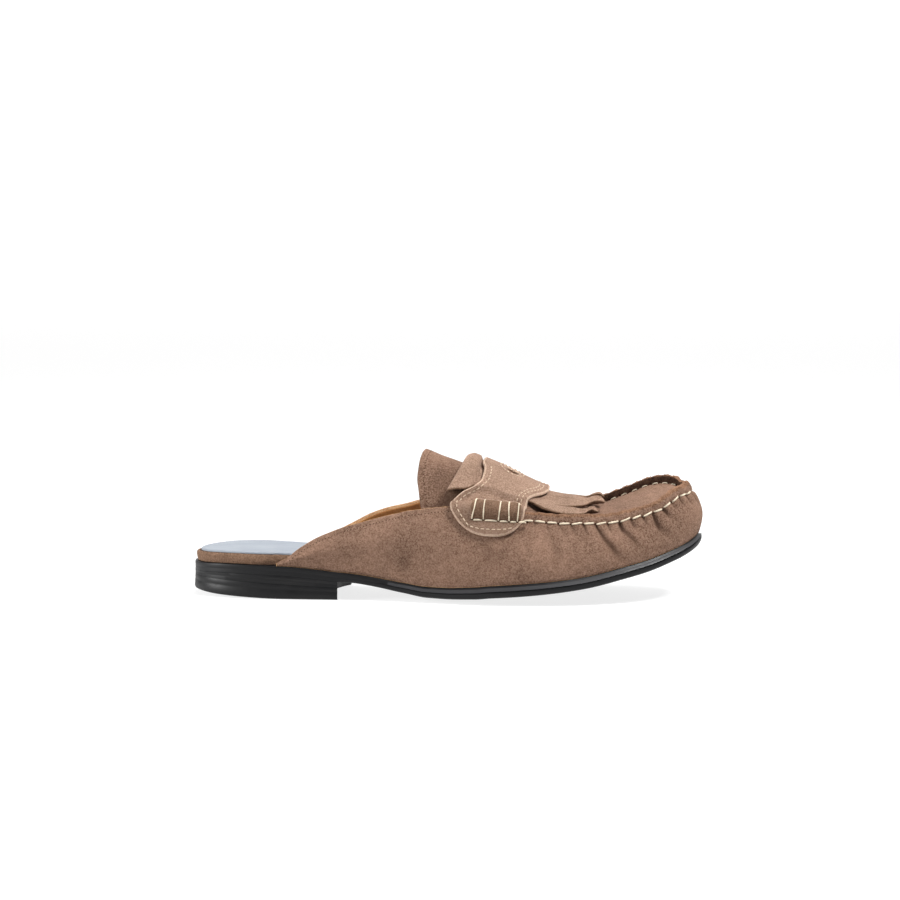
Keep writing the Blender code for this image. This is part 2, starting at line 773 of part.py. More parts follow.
def saddle_lift(place, share):
    """The saddle clears the band in the middle and lies on the upper at its tabs."""
    part = np.clip((abs(place) - smooth(BAND_WIDTH, 1, share) - TAB_START) / TAB_EASE, 0.0, 1.0)
    easing = part * part * (3 - 2 * part)
    over_band = KILTIE_THICKNESS + 4.5 * FIT
    over_seam = SEAM_BRIDGE * max(0.0, 1 - ((abs(place) - SEAM_PLACE) / SEAM_SPREAD) ** 2)
    return over_band + (1.3 * FIT - over_band) * easing + over_seam


def roll_height(place, share):
    """Rolled edge along the seam, rounded across and at both ends."""
    across = np.clip(1 - ((abs(place) - ROLL_PLACE) / ROLL_SPREAD) ** 2, 0.0, 1.0)
    ends = np.clip(min(share - SADDLE_ROLL[0], SADDLE_ROLL[1] - share) / ROLL_ENDS, 0.0, 1.0)
    return ROLL_HEIGHT * math.sqrt(across * ends)


def make_saddle(parts, surface, cutters, instep):
    end = SADDLE[-1][0]
    count, columns = 52, 8
    outside, inside = [], []
    for turn in np.linspace(-1.0, 1.0, count + 1):
        place = end * math.sin(turn * math.pi / 2)
        back = smooth(SADDLE, 1, abs(place))
        front = smooth(SADDLE, 2, abs(place))
        along = np.linspace(back, front, columns + 1)
        lifts = [saddle_lift(place, share) for share in along]
        inside.append([instep.at(place, share, lift) for share, lift in zip(along, lifts)])
        tops = [lift + SADDLE_THICKNESS + roll_height(place, share) for share, lift in zip(along, lifts)]
        outside.append([instep.at(place, share, top) for share, top in zip(along, tops)])
    keep = np.ones((count, columns), dtype=bool)
    saddle = add_solid("saddle", shell_faces(np.array(outside), np.array(inside), keep), parts, surface)
    middle = instep.at(0.0, CUTOUT_PLACE, 0.0)
    bpy.ops.mesh.primitive_cylinder_add(vertices=20, radius=0.5, depth=1.0, end_fill_type="NGON")
    cutter = bpy.context.object
    cutter.name = "cutout_cutter"
    cutter.scale = (CUTOUT_LENGTH, CUTOUT_WIDTH, 10 * SADDLE_THICKNESS)
    cutter.location = (middle[0] - HEEL_REST, middle[1], middle[2])
    for collection in list(cutter.users_collection):
        collection.objects.unlink(cutter)
    cutters.objects.link(cutter)
    cutter.hide_render = True
    cutter.display_type = "WIRE"
    cut = saddle.modifiers.new("cutout", "BOOLEAN")
    cut.operation = "DIFFERENCE"
    cut.solver = "EXACT"
    cut.object = cutter
    return saddle


def band_profile():
    """Middle line of the band in place along and lift, with the two sides of its thickness."""
    rows = np.array([(along * SOLE_LENGTH, lift * KILTIE_BULGE) for along, lift in BAND])
    steps = np.concatenate(([0.0], np.cumsum(np.linalg.norm(np.diff(rows, axis=0), axis=1))))
    knots = [(step, row[0], row[1]) for step, row in zip(steps, rows)]
    roll_end = steps[9]
    reach = np.concatenate((np.linspace(0.0, roll_end, 15)[:-1], np.linspace(roll_end, steps[-1], 12)))
    line = np.stack([smooth(knots, column, reach) for column in (1, 2)], axis=1)
    tangents = np.gradient(line, axis=0)
    tangents /= np.linalg.norm(tangents, axis=1)[:, None]
    sides = np.stack((-tangents[:, 1], tangents[:, 0]), axis=1) * KILTIE_THICKNESS / 2
    return line + sides, line - sides


def make_kiltie(parts, surface, instep):
    """Band: its fringe is slit into fingers from SLIT_START forward."""
    edges = [-1.0] + list(FINGER_EDGES) + [1.0]
    places = []
    for left, right in zip(edges, edges[1:]):
        low = left + (SLIT_WIDTH / 2 if left > -1.0 else 0.0)
        high = right - (SLIT_WIDTH / 2 if right < 1.0 else 0.0)
        places += list(np.linspace(low, high, 3 if min(low, high) * max(low, high) > 0 else 4))
    gaps = np.diff(places)
    slit_columns = np.flatnonzero(gaps < 1.5 * SLIT_WIDTH)
    sheets = []
    for profile in band_profile():
        sheet = []
        for x, lift in profile:
            share = x / SOLE_LENGTH
            width = smooth(BAND_WIDTH, 1, share)
            slant = ROLL_SLANT * np.clip((ROLL_FRONT - share) / ROLL_LENGTH, 0.0, 1.0)
            sheet.append([instep.at(width * place, share + slant * (1 - place ** 2), lift)
                          for place in places])
        sheets.append(np.array(sheet))
    keep = np.ones((sheets[0].shape[0] - 1, len(places) - 1), dtype=bool)
    lines = sheets[0][:, len(places) // 2, 0]
    forward = np.arange(len(lines)) > len(lines) // 2
    for column in slit_columns:
        keep[(forward & (lines > SLIT_START * SOLE_LENGTH))[:-1], column] = False
    return add_solid("kiltie", shell_faces(sheets[0], sheets[1], keep), parts, surface)


def main():
    for old in list(bpy.data.objects):
        bpy.data.objects.remove(old, do_unlink=True)
    parts = bpy.data.collections.new("loafer_mule")
    cutters = bpy.data.collections.new("cutters")
    for collection in (parts, cutters):
        bpy.context.scene.collection.children.link(collection)
    sole = material("sole_black", SOLE_BLACK, 0.45)
    suede = material("suede", SUEDE, 0.95)
    sock = material("sock_blue", SOCK_BLUE, 0.6)
    make_outsole(parts, sole)
    make_heel(parts, sole)
    make_top_lift(parts, sole)
    make_footbed(parts, suede)
    make_sock(parts, sock)
    make_upper(parts, suede)
    instep = Instep()
    make_tongue(parts, suede, instep)
    make_kiltie(parts, suede, instep)
    make_saddle(parts, suede, cutters, instep)


main()
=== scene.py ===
import math

import bmesh
import bpy
import numpy as np
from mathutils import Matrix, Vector


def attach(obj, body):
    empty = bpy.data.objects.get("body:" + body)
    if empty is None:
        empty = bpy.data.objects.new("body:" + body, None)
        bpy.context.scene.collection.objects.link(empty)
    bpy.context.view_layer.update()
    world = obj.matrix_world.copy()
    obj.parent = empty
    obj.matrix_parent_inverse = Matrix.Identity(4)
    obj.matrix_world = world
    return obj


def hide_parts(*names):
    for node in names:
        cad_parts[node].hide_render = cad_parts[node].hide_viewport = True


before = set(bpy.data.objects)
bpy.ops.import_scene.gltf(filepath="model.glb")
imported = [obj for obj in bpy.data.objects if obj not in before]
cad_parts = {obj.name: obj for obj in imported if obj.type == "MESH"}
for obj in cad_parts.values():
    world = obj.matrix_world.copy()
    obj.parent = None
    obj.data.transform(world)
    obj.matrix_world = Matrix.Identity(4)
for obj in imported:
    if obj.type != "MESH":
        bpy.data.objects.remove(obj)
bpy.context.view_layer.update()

# Sizes that the pieces share, in metres and degrees. X counts from the back of the sole.
shoe = {
    "length": 0.292,
    "ballWidth": 0.098,
    "heelRest": 0.062,
    "heelHeight": 0.0142,
    "heelLength": 0.087,
    "breastHollow": 0.008,
    "toeSpring": 0.0312,
    "treadCrown": 0.0033,
    "edgeThickness": 0.0067,
    "fit": 0.0003,
    "wall": 0.0021,
    "featherInset": 0.0024,
    "quarterHeight": 0.045,
    "toeWall": 0.032,
    "wallBulge": 0.0022,
    "seamHeight": 0.005,
    "seamWidth": 0.0030,
    "seamLean": 24.0,
    "instepRise": 0.0255,
    "footbedThickness": 0.0053,
    "saddleThickness": 0.0024,
    "kiltieThickness": 0.0015,
    # the tip's place across, over the ball's width
    "toeTip": 0.082,
    # shares of the length: where the wall starts on each side, and where throat and raised seam start
    "wallStart": (0.179, 0.200),
    "throat": 0.555,
    "seamStart": 0.655,
    "seamBlend": 0.040,
}

# Share of the length, then the outer and inner half width over the ball's width
outlineTable = (
    (0.017, 0.163, 0.163),
    (0.051, 0.260, 0.260),
    (0.103, 0.316, 0.314),
    (0.171, 0.342, 0.332),
    (0.274, 0.347, 0.316),
    (0.377, 0.362, 0.281),
    (0.445, 0.398, 0.276),
    (0.514, 0.449, 0.306),
    (0.582, 0.495, 0.378),
    (0.651, 0.515, 0.449),
    (0.719, 0.505, 0.485),
    (0.788, 0.464, 0.480),
    (0.856, 0.398, 0.448),
    (0.908, 0.316, 0.402),
    (0.952, 0.212, 0.334),
    (0.983, 0.100, 0.250),
)

# Share of the length, then shares of the heel height, toe spring, crown, crown and edge thickness
soleTable = (
    (0.000, 0.944, 0.000, 0.00, 0.00, 0.73),
    (0.075, 1.000, 0.000, 0.00, 0.00, 0.75),
    (0.185, 0.950, 0.000, 0.00, 0.00, 0.76),
    (0.298, 0.725, 0.000, 0.00, 0.00, 0.78),
    (0.325, 0.660, 0.000, 0.00, 0.10, 0.76),
    (0.377, 0.420, 0.000, 0.00, 0.45, 0.78),
    (0.425, 0.155, 0.000, 0.00, 0.80, 0.84),
    (0.473, 0.000, 0.000, 0.15, 1.00, 0.88),
    (0.514, 0.000, 0.000, 0.24, 1.00, 0.92),
    (0.565, 0.000, 0.000, 0.10, 1.00, 0.99),
    (0.599, 0.000, 0.019, 0.00, 1.00, 1.02),
    (0.658, 0.000, 0.061, 0.00, 1.00, 1.03),
    (0.719, 0.000, 0.119, 0.00, 1.00, 1.00),
    (0.781, 0.000, 0.202, 0.00, 1.00, 0.98),
    (0.839, 0.000, 0.327, 0.00, 1.00, 0.98),
    (0.901, 0.000, 0.490, 0.00, 0.85, 0.98),
    (0.932, 0.000, 0.609, 0.00, 0.64, 0.99),
    (0.962, 0.000, 0.744, 0.00, 0.36, 0.99),
    (0.993, 0.000, 0.930, 0.00, 0.05, 0.99),
    (1.000, 0.000, 1.000, 0.00, 0.00, 0.97),
)

# Foot of the upper's wall: share of the length, then shares of its inset and bulge
featherTable = (
    (0.17, 0.55, 0.0),
    (0.25, 0.90, 0.3),
    (0.45, 1.00, 0.5),
    (0.85, 1.00, 0.7),
    (0.95, 0.80, 1.4),
    (1.00, 0.60, 1.9),
)

# Topline and seam in plan: share of the length, outer inset, inner inset
seamPlanTable = (
    (0.171, 0.018, 0.012),
    (0.205, 0.024, 0.016),
    (0.274, 0.030, 0.004),
    (0.342, 0.038, -0.012),
    (0.445, 0.058, -0.028),
    (0.514, 0.092, -0.016),
    (0.582, 0.128, 0.030),
    (0.651, 0.150, 0.085),
    (0.729, 0.161, 0.125),
    (0.800, 0.143, 0.130),
    (0.870, 0.120, 0.110),
    (0.940, 0.095, 0.090),
    (1.000, 0.082, 0.082),
)

# Topline over the sole, outer and inner side
toplineTable = (
    (0.175, 0.03, 0.03),
    (0.199, 0.11, 0.03),
    (0.216, 0.21, 0.11),
    (0.234, 0.30, 0.21),
    (0.255, 0.395, 0.31),
    (0.279, 0.480, 0.39),
    (0.304, 0.560, 0.49),
    (0.339, 0.650, 0.63),
    (0.373, 0.745, 0.74),
    (0.408, 0.840, 0.83),
    (0.443, 0.925, 0.92),
    (0.480, 0.980, 0.98),
    (0.514, 1.000, 1.01),
    (0.565, 0.969, 0.99),
    (0.616, 0.907, 0.95),
    (0.654, 0.868, 0.91),
)

# Top of the raised seam over the sole, outer and inner side
seamTopTable = (
    (0.654, 1.220, 1.280),
    (0.690, 1.170, 1.210),
    (0.730, 1.100, 1.172),
    (0.757, 1.070, 1.152),
    (0.784, 1.032, 1.126),
    (0.808, 0.985, 1.138),
    (0.830, 0.953, 1.168),
    (0.863, 0.938, 1.215),
    (0.897, 0.930, 1.264),
    (0.911, 0.930, 1.255),
    (0.928, 0.970, 1.225),
    (0.952, 1.028, 1.130),
    (0.966, 1.000, 1.000),
)

# Instep above its edges
instepTable = (
    (0.420, 1.690),
    (0.455, 1.560),
    (0.503, 1.270),
    (0.565, 1.000),
    (0.610, 0.790),
    (0.664, 0.520),
    (0.695, 0.430),
    (0.743, 0.330),
    (0.770, 0.225),
    (0.798, 0.130),
    (0.830, 0.070),
    (0.900, 0.020),
    (1.000, 0.000),
)

print("sizes and tables read")


def smooth(table, column, at):
    # no overshoot between the rows
    knots = np.array([row[0] for row in table])
    values = np.array([row[column] for row in table])
    steps = np.diff(knots)
    slopes = np.diff(values) / steps
    tangents = np.zeros(len(knots))
    tangents[0], tangents[-1] = slopes[0], slopes[-1]
    both = slopes[:-1] * slopes[1:]
    rising = both > 0
    tangents[1:-1][rising] = 2 * both[rising] / (slopes[:-1] + slopes[1:])[rising]
    at = np.clip(at, knots[0], knots[-1])
    left = np.clip(np.searchsorted(knots, at, side="right") - 1, 0, len(steps) - 1)
    step = steps[left]
    part = (at - knots[left]) / step
    rest = 1 - part
    return (values[left] * (1 + 2 * part) * rest ** 2
            + values[left + 1] * part ** 2 * (1 + 2 * rest)
            + step * part * rest * (tangents[left] * rest - tangents[left + 1] * part))


def ease(value):
    part = np.clip(value, 0.0, 1.0)
    return part * part * (3 - 2 * part)


def unit(vectors):
    return vectors / np.maximum(np.linalg.norm(vectors, axis=-1), 1e-12)[..., None]


def runLength(points):
    # distance along a row of points, from its first
    return np.concatenate(([0.0], np.cumsum(np.linalg.norm(np.diff(points, axis=0), axis=1))))


def readRows(at, knots, rows):
    # every column of the rows, read between the knots
    return np.stack([np.interp(at, knots, rows[:, k]) for k in range(rows.shape[1])], axis=-1)


def wander(places, scale, seed):
    # smooth random wave along one direction, about -1 to 1
    rng = np.random.default_rng(seed)
    places = np.asarray(places) / scale
    total = np.zeros_like(places, dtype=float)
    for octave in (1.0, 1.73, 2.9):
        total += np.sin(places * octave * 2 * math.pi + rng.uniform(0, 6.28)) / octave
    return total / 1.6


def closedSpline(points, samples):
    points = np.array(points)
    chords = np.linalg.norm(np.roll(points, -1, axis=0) - points, axis=1)
    before = np.roll(chords, 1)
    count = len(points)
    system = np.zeros((count, count))
    for i in range(count):
        system[i, i] = 2 * (before[i] + chords[i])
        system[i, i - 1] += before[i]
        system[i, (i + 1) % count] += chords[i]
    ahead = (np.roll(points, -1, axis=0) - points) / chords[:, None]
    bends = np.linalg.solve(system, 6 * (ahead - np.roll(ahead, 1, axis=0)))
    part = (np.arange(samples) / samples)[None, :, None]
    rest = 1 - part
    bow = (chords ** 2 / 6)[:, None, None]
    curve = (rest * points[:, None] + part * np.roll(points, -1, axis=0)[:, None]
             + bow * ((rest ** 3 - rest) * bends[:, None]
                      + (part ** 3 - part) * np.roll(bends, -1, axis=0)[:, None]))
    return curve.reshape(-1, 2)


class Side:
    # one side of the sole's outline, from the back point to the tip of the toe
    def __init__(self, points, inward):
        self.points = points
        self.inward = inward
        self.arcs = runLength(points)

    def arcAt(self, share):
        return np.interp(share * shoe["length"], self.points[:, 0], self.arcs)

    def read(self, rows, arcs):
        return readRows(arcs, self.arcs, rows)


def makeSides():
    outer = [(along * shoe["length"], -across * shoe["ballWidth"]) for along, across, _ in outlineTable]
    inner = [(along * shoe["length"], across * shoe["ballWidth"]) for along, _, across in outlineTable]
    tip = (shoe["length"], shoe["toeTip"] * shoe["ballWidth"])
    samples = 48
    curve = closedSpline([(0.0, 0.0)] + outer + [tip] + inner[::-1], samples)
    tangents = unit(np.roll(curve, -1, axis=0) - np.roll(curve, 1, axis=0))
    inward = np.stack((-tangents[:, 1], tangents[:, 0]), axis=1)
    turn = samples * (len(outer) + 1)
    back = np.concatenate((np.arange(turn, len(curve)), (0,)))[::-1]
    return Side(curve[:turn + 1], inward[:turn + 1]), Side(curve[back], inward[back])


outerSide, innerSide = makeSides()


def edgeLevel(x, inward=0.0):
    share = x / shoe["length"]
    middle = smooth(soleTable, 1, share) * shoe["heelHeight"]
    middle = middle + smooth(soleTable, 2, share) * shoe["toeSpring"]
    middle = middle - smooth(soleTable, 3, share) * shoe["treadCrown"]
    return middle + smooth(soleTable, 4, share) * shoe["treadCrown"] * (1 - inward)


def soleTop(x):
    return edgeLevel(x) + smooth(soleTable, 5, x / shoe["length"]) * shoe["edgeThickness"]


def stations(side, start, body, toe, end=1.0):
    turn = min(0.80, end)
    arcs = side.arcAt(np.linspace(start, turn, body + 1))
    if end < 1.0:
        return arcs
    return np.concatenate((arcs, np.linspace(arcs[-1], side.arcs[-1], toe + 1)[1:]))


def planRibs(inset, columns, counts, end=1.0):
    # plan grid of ribs across the sole, from the back to end
    edges = []
    for side in (outerSide, innerSide):
        heel = np.linspace(0.0, side.arcAt(0.10), counts[0] + 1)[:-1]
        arcs = np.concatenate((heel, stations(side, 0.10, counts[1], counts[2], end)))
        outline = side.read(side.points, arcs)
        depth = inset(outline[:, 0] / shoe["length"], arcs) if callable(inset) else inset
        edges.append(outline + side.read(side.inward, arcs) * np.reshape(depth, (-1, 1)))
    across = (1 - np.cos(np.linspace(0.0, math.pi, columns))) / 2
    across = (0.4 * across + 0.6 * np.linspace(0.0, 1.0, columns))[None, :, None]
    return edges[0][:, None, :] * (1 - across) + edges[1][:, None, :] * across


def crossing(plan):
    # 1 on the middle line, 0 at the edges and where a rib closes to a point
    width = np.linalg.norm(plan[:, -1] - plan[:, 0], axis=1)
    middle = (plan[:, -1] + plan[:, 0]) / 2
    reach = np.linalg.norm(plan - middle[:, None], axis=2) / np.maximum(width / 2, 1e-9)[:, None]
    return np.minimum(1.0, 8 * width / shoe["ballWidth"])[:, None] * np.clip(1 - reach ** 2, 0.0, 1.0)


def withLevel(plan, level):
    return np.concatenate((plan, np.broadcast_to(level, plan.shape[:2])[:, :, None]), axis=2)


def rim(grid):
    return np.concatenate((grid[:, 0], grid[-1, 1:], grid[-2::-1, -1], grid[0, -2:0:-1]))


def surfaceNormals(grid):
    return unit(np.cross(np.gradient(grid, axis=0), np.gradient(grid, axis=1)))


def addMesh(name, points, faces, slots, surfaces, weld=2e-6, attributes=None, sharp=None):
    # mesh in the shoe's frame; slots says which of the surfaces each face has
    mesh = bpy.data.meshes.new(name)
    points = np.array(points) - np.array((shoe["heelRest"], 0.0, 0.0))
    mesh.from_pydata(points.tolist(), [], faces)
    for made in surfaces:
        mesh.materials.append(made)
    mesh.polygons.foreach_set("material_index", np.asarray(slots, dtype=np.int32))
    for label, values in (attributes or {}).items():
        layer = mesh.attributes.new(label, "FLOAT", "POINT")
        layer.data.foreach_set("value", np.asarray(values, dtype=np.float32))
    work = bmesh.new()
    work.from_mesh(mesh)
    if weld:
        bmesh.ops.remove_doubles(work, verts=work.verts[:], dist=weld)
    bmesh.ops.recalc_face_normals(work, faces=work.faces[:])
    work.to_mesh(mesh)
    work.free()
    mesh.shade_smooth()
    if sharp:
        mesh.set_sharp_from_angle(angle=math.radians(sharp))
    made = bpy.data.objects.new(name, mesh)
    bpy.context.scene.collection.objects.link(made)
    return made


def place(obj, slotName=None, *nodes):
    if nodes:
        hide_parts(*nodes)
    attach(obj, "root")
    return obj


def slabParts(layers):
    # grids of the first and last layer with the rims of all layers between them
    rows, columns = layers[0].shape[:2]
    rims = [rim(layer) for layer in layers]
    points = [layers[0].reshape(-1, 3), layers[-1].reshape(-1, 3)] + rims
    count = rows * columns
    index = np.arange(count).reshape(rows, columns)
    corners = (index[:-1, :-1], index[1:, :-1], index[1:, 1:], index[:-1, 1:])
    cells = np.stack(corners, axis=2).reshape(-1, 4)
    faces = [cells, cells + count]
    slots = [np.zeros(len(cells)), np.ones(len(cells))]
    ring = len(rims[0])
    turn = np.arange(ring)
    for k in range(len(rims) - 1):
        low = 2 * count + k * ring
        faces.append(np.stack((low + turn, low + (turn + 1) % ring,
                               low + ring + (turn + 1) % ring, low + ring + turn), axis=1))
        slots.append(np.full(ring, 2 + k))
    return np.concatenate(points), np.concatenate(faces), np.concatenate(slots)


def addSlab(name, layers, surface, sharp):
    points, faces, _ = slabParts(layers)
    return addMesh(name, points, tidyFaces(faces), np.zeros(len(faces)), [surface], sharp=sharp)


def shellParts(outside, inside, keep, roundness, sewnEnd=False):
    # wall between two grids; its open edges are closed by a rounded rim
    rows, columns = outside.shape[:2]
    count = rows * columns
    index = np.arange(count).reshape(rows, columns)
    i, j = np.nonzero(keep)
    cells = np.stack((index[i, j], index[i + 1, j], index[i + 1, j + 1], index[i, j + 1]), axis=1)
    flatOut, flatIn = outside.reshape(-1, 3), inside.reshape(-1, 3)
    around = np.pad(keep, 1)
    pairs, outwards = [], np.zeros((count, 3))
    for di, dj, first, second in ((-1, 0, (0, 0), (0, 1)), (1, 0, (1, 0), (1, 1)),
                                  (0, -1, (0, 0), (1, 0)), (0, 1, (0, 1), (1, 1))):
        bare = keep & ~around[1 + di:rows + di, 1 + dj:columns + dj]
        if sewnEnd and di == 1:
            bare[-1] = False
        i, j = np.nonzero(bare)
        a = index[i + first[0], j + first[1]]
        b = index[i + second[0], j + second[1]]
        inner = di * columns + dj
        edge = unit(flatOut[b] - flatOut[a])
        away = flatOut[a] + flatOut[b] - flatOut[a - inner] - flatOut[b - inner]
        away = unit(away - edge * np.sum(away * edge, axis=1)[:, None])
        for end in (a, b):
            np.add.at(outwards, end, away)
        pairs.append(np.stack((a, b), axis=1))
    pairs = np.concatenate(pairs)
    outwards = unit(outwards)
    for _ in range(5):
        # neighbours along the edge share their directions, so a stepped edge closes smoothly
        blend = outwards.copy()
        np.add.at(blend, pairs[:, 0], outwards[pairs[:, 1]])
        np.add.at(blend, pairs[:, 1], outwards[pairs[:, 0]])
        outwards = unit(blend)
    thick = np.linalg.norm(flatOut - flatIn, axis=1)[:, None]
    points = [flatOut, flatIn]
    faces = [cells, cells + count]
    slots = [np.zeros(len(cells)), np.ones(len(cells))]
    turns = (0.25, 0.5, 0.75)
    for turn in turns:
        bow = math.sin(turn * math.pi) * roundness * 0.5
        points.append(flatOut * (1 - turn) + flatIn * turn + outwards * thick * bow)
    order = [0] + list(range(2, 2 + len(turns))) + [1]
    for low, high in zip(order, order[1:]):
        faces.append(np.stack((pairs[:, 0] + low * count, pairs[:, 1] + low * count,
                               pairs[:, 1] + high * count, pairs[:, 0] + high * count), axis=1))
        slots.append(np.full(len(pairs), 2))
    return np.concatenate(points), np.concatenate(faces), np.concatenate(slots)


def dropLoose(points, faces, attributes):
    # only the points that a face uses
    used = np.unique(faces)
    fresh = np.zeros(len(points), dtype=int)
    fresh[used] = np.arange(len(used))
    return points[used], fresh[faces], {label: values[used] for label, values in attributes.items()}


def tidyFaces(faces):
    return [list(map(int, face)) for face in faces]


class Value:
    # wraps a socket so that shader maths reads as an expression
    def __init__(self, shader, socket):
        self.shader = shader
        self.socket = socket

    def maths(self, operation, *values):
        return self.shader.node("ShaderNodeMath", {"operation": operation}, dict(enumerate(values)))

    def __add__(self, other):
        return self.maths("ADD", self, other)

    def __sub__(self, other):
        return self.maths("SUBTRACT", self, other)

    def __rsub__(self, other):
        return self.maths("SUBTRACT", other, self)

    def __mul__(self, other):
        return self.maths("MULTIPLY", self, other)

    __radd__ = __add__
    __rmul__ = __mul__


class Shader:
    def __init__(self, name):
        self.material = bpy.data.materials.new(name)
        self.material.use_nodes = True
        self.tree = self.material.node_tree
        self.surface = self.tree.nodes["Principled BSDF"]

    def node(self, kind, settings=None, inputs=None, output=0):
        made = self.tree.nodes.new(kind)
        for label, value in (settings or {}).items():
            if label == "stops":
                ramp = made.color_ramp
                while len(ramp.elements) < len(value):
                    ramp.elements.new(0.5)
                for element, (position, level) in zip(ramp.elements, value):
                    element.position = position
                    element.color = (level, level, level, 1.0)
            else:
                setattr(made, label, value)
        for label, value in (inputs or {}).items():
            self.feed(made.inputs[label], value)
        return Value(self, made.outputs[output])

    def feed(self, socket, value):
        if isinstance(value, Value):
            self.tree.links.new(value.socket, socket)
        elif isinstance(value, tuple) and len(value) == 3 and socket.type == "RGBA":
            socket.default_value = (*value, 1.0)
        else:
            socket.default_value = value

    def set(self, values):
        for label, value in values.items():
            self.feed(self.surface.inputs[label], value)

    def coordinates(self):
        return self.node("ShaderNodeTexCoord", output="Object")

    def noise(self, scale, detail=4.0, roughness=0.6, stretch=None):
        where = self.coordinates()
        if stretch:
            where = self.node("ShaderNodeMapping", {}, {"Vector": where, "Scale": stretch})
        return self.node("ShaderNodeTexNoise", {}, {"Vector": where, "Scale": scale,
                                                    "Detail": detail, "Roughness": roughness})

    def ramp(self, value, *stops):
        return self.node("ShaderNodeValToRGB", {"stops": stops}, {0: value})

    def mix(self, factor, first, second):
        return self.node("ShaderNodeMix", {"data_type": "RGBA"}, {0: factor, 6: first, 7: second}, 2)

    def bump(self, height, strength, distance):
        return self.node("ShaderNodeBump", {}, {"Height": height, "Strength": strength, "Distance": distance})

    def attribute(self, label):
        return self.node("ShaderNodeAttribute", {"attribute_name": label}, {}, "Fac")


def linear(red, green, blue):
    # screen colour from 0 to 255 as the shader's own
    parts = [level / 255 for level in (red, green, blue)]
    return tuple(part / 12.92 if part < 0.04045 else ((part + 0.055) / 1.055) ** 2.4 for part in parts)


suedeLook = {
    "dark": linear(79, 58, 46),
    "body": linear(122, 94, 78),
    "light": linear(162, 132, 113),
    "napScale": 1150.0,
    "cloudScale": 34.0,
    "sheen": 0.25,
    "fuzz": 0.55,
    # colour of the painted shade in creases, under the band and on the tab
    "paintedShadeColour": linear(58, 40, 30),
}


def makeSuede(name, look):
    s = Shader(name)
    clouds = s.noise(look["cloudScale"], 5.0, 0.60)
    strokes = s.noise(210.0, 4.0, 0.7, (1.0, 1.0, 1.7))
    flecks = s.noise(look["napScale"], 3.0, 0.75)
    patch = s.ramp(clouds * 0.82 + strokes * 0.18, (0.38, 0.0), (0.62, 1.0))
    fleck = s.ramp(flecks * 0.85 + strokes * 0.15, (0.42, 0.0), (0.62, 1.0))
    base = s.mix(patch * 0.75 + 0.12, look["dark"], look["body"])
    base = s.mix(fleck * look["fuzz"], base, look["light"])
    base = s.mix((1 - s.ramp(flecks, (0.34, 0.0), (0.46, 1.0))) * 0.45, base, look["dark"])
    # painted shade: each piece's fold mask darkens its creases, the tongue under the band and the saddle's
    # tab towards a shade colour
    base = s.mix(s.attribute("fold") * 0.8, base, look["paintedShadeColour"])
    nap = s.noise(look["napScale"] * 1.9, 4.0, 0.75)
    normal = s.bump(nap * 0.6 + flecks + strokes * 0.6, 0.85, 0.0007)
    s.set({"Base Color": base, "Roughness": 1.0, "Sheen Weight": look["sheen"], "Sheen Roughness": 0.45,
           "Sheen Tint": (*look["light"], 1.0), "Specular IOR Level": 0.12, "Normal": normal})
    return s.material


# dark, body and light of the same suede elsewhere
suedeColours = {
    "suede_top": ((104, 81, 66), (141, 113, 96), (177, 151, 132)),
    "suede_roll": ((78, 58, 45), (116, 90, 72), (148, 120, 100)),
    "pale_edge": ((142, 116, 98), (184, 158, 138), (208, 184, 164)),
    "lining": ((160, 104, 60), (188, 134, 84), (210, 160, 108)),
    "cut_edge": ((140, 100, 68), (176, 136, 98), (204, 168, 130)),
    "ridge_edge": ((76, 53, 40), (120, 88, 68), (164, 127, 101)),
    # painted shade: the seam's inner face gets a near-black colour because it lies in shade
    "ridge_inner_shade": ((34, 22, 17), (58, 40, 31), (92, 68, 53)),
}


def colouredSuede(name, **changes):
    dark, body, light = (linear(*colour) for colour in suedeColours[name])
    return makeSuede(name, dict(suedeLook, dark=dark, body=body, light=light, **changes))


suede = makeSuede("suede", suedeLook)
topSuede = colouredSuede("suede_top")
rollSuede = colouredSuede("suede_roll")
paleEdge = colouredSuede("pale_edge")
lining = colouredSuede("lining", sheen=0.05, fuzz=0.3)
cutEdge = colouredSuede("cut_edge")
ridgeEdge = colouredSuede("ridge_edge")
ridgeInnerShade = colouredSuede("ridge_inner_shade")


def makeSoleBlack(name, level):
    s = Shader(name)
    wear = s.noise(160.0, 4.0, 0.6)
    scuff = s.ramp(s.noise(60.0, 5.0, 0.6, (0.35, 1.0, 2.6)), (0.52, 0.0), (0.80, 1.0))
    base = s.mix(scuff * 0.18, linear(level, level, level + 2), linear(64, 62, 61))
    s.set({"Base Color": base, "Roughness": wear * 0.25 + 0.36, "Specular IOR Level": 0.27,
           "Normal": s.bump(wear, 0.2, 0.0002)})
    return s.material


soleBlack = makeSoleBlack("sole_black", 7)
# painted highlight: a lighter grey copy of the sole's black for the lit bevel
soleSheen = makeSoleBlack("sole_bevel_highlight", 46)


def makeSockBlue():
    s = Shader("sock_blue")
    grain = s.noise(1400.0, 3.0, 0.7)
    clouds = s.noise(45.0, 4.0, 0.6)
    base = s.mix(s.ramp(clouds, (0.35, 0.0), (0.7, 1.0)), linear(124, 130, 139), linear(136, 142, 149))
    s.set({"Base Color": base, "Roughness": 0.6, "Specular IOR Level": 0.35,
           "Normal": s.bump(grain, 0.25, 0.0002)})
    return s.material


def makeThread(name, dark, light):
    s = Shader(name)
    twist = s.noise(2200.0, 2.0, 0.5)
    s.set({"Base Color": s.mix(twist, dark, light), "Roughness": 0.75,
           "Normal": s.bump(twist, 0.3, 0.0001)})
    return s.material


def makeHoleDark():
    # painted shade: needle holes are dark plugs standing for the shade inside each hole
    s = Shader("needle_hole_shade")
    s.set({"Base Color": linear(58, 42, 33), "Roughness": 1.0, "Specular IOR Level": 0.05})
    return s.material


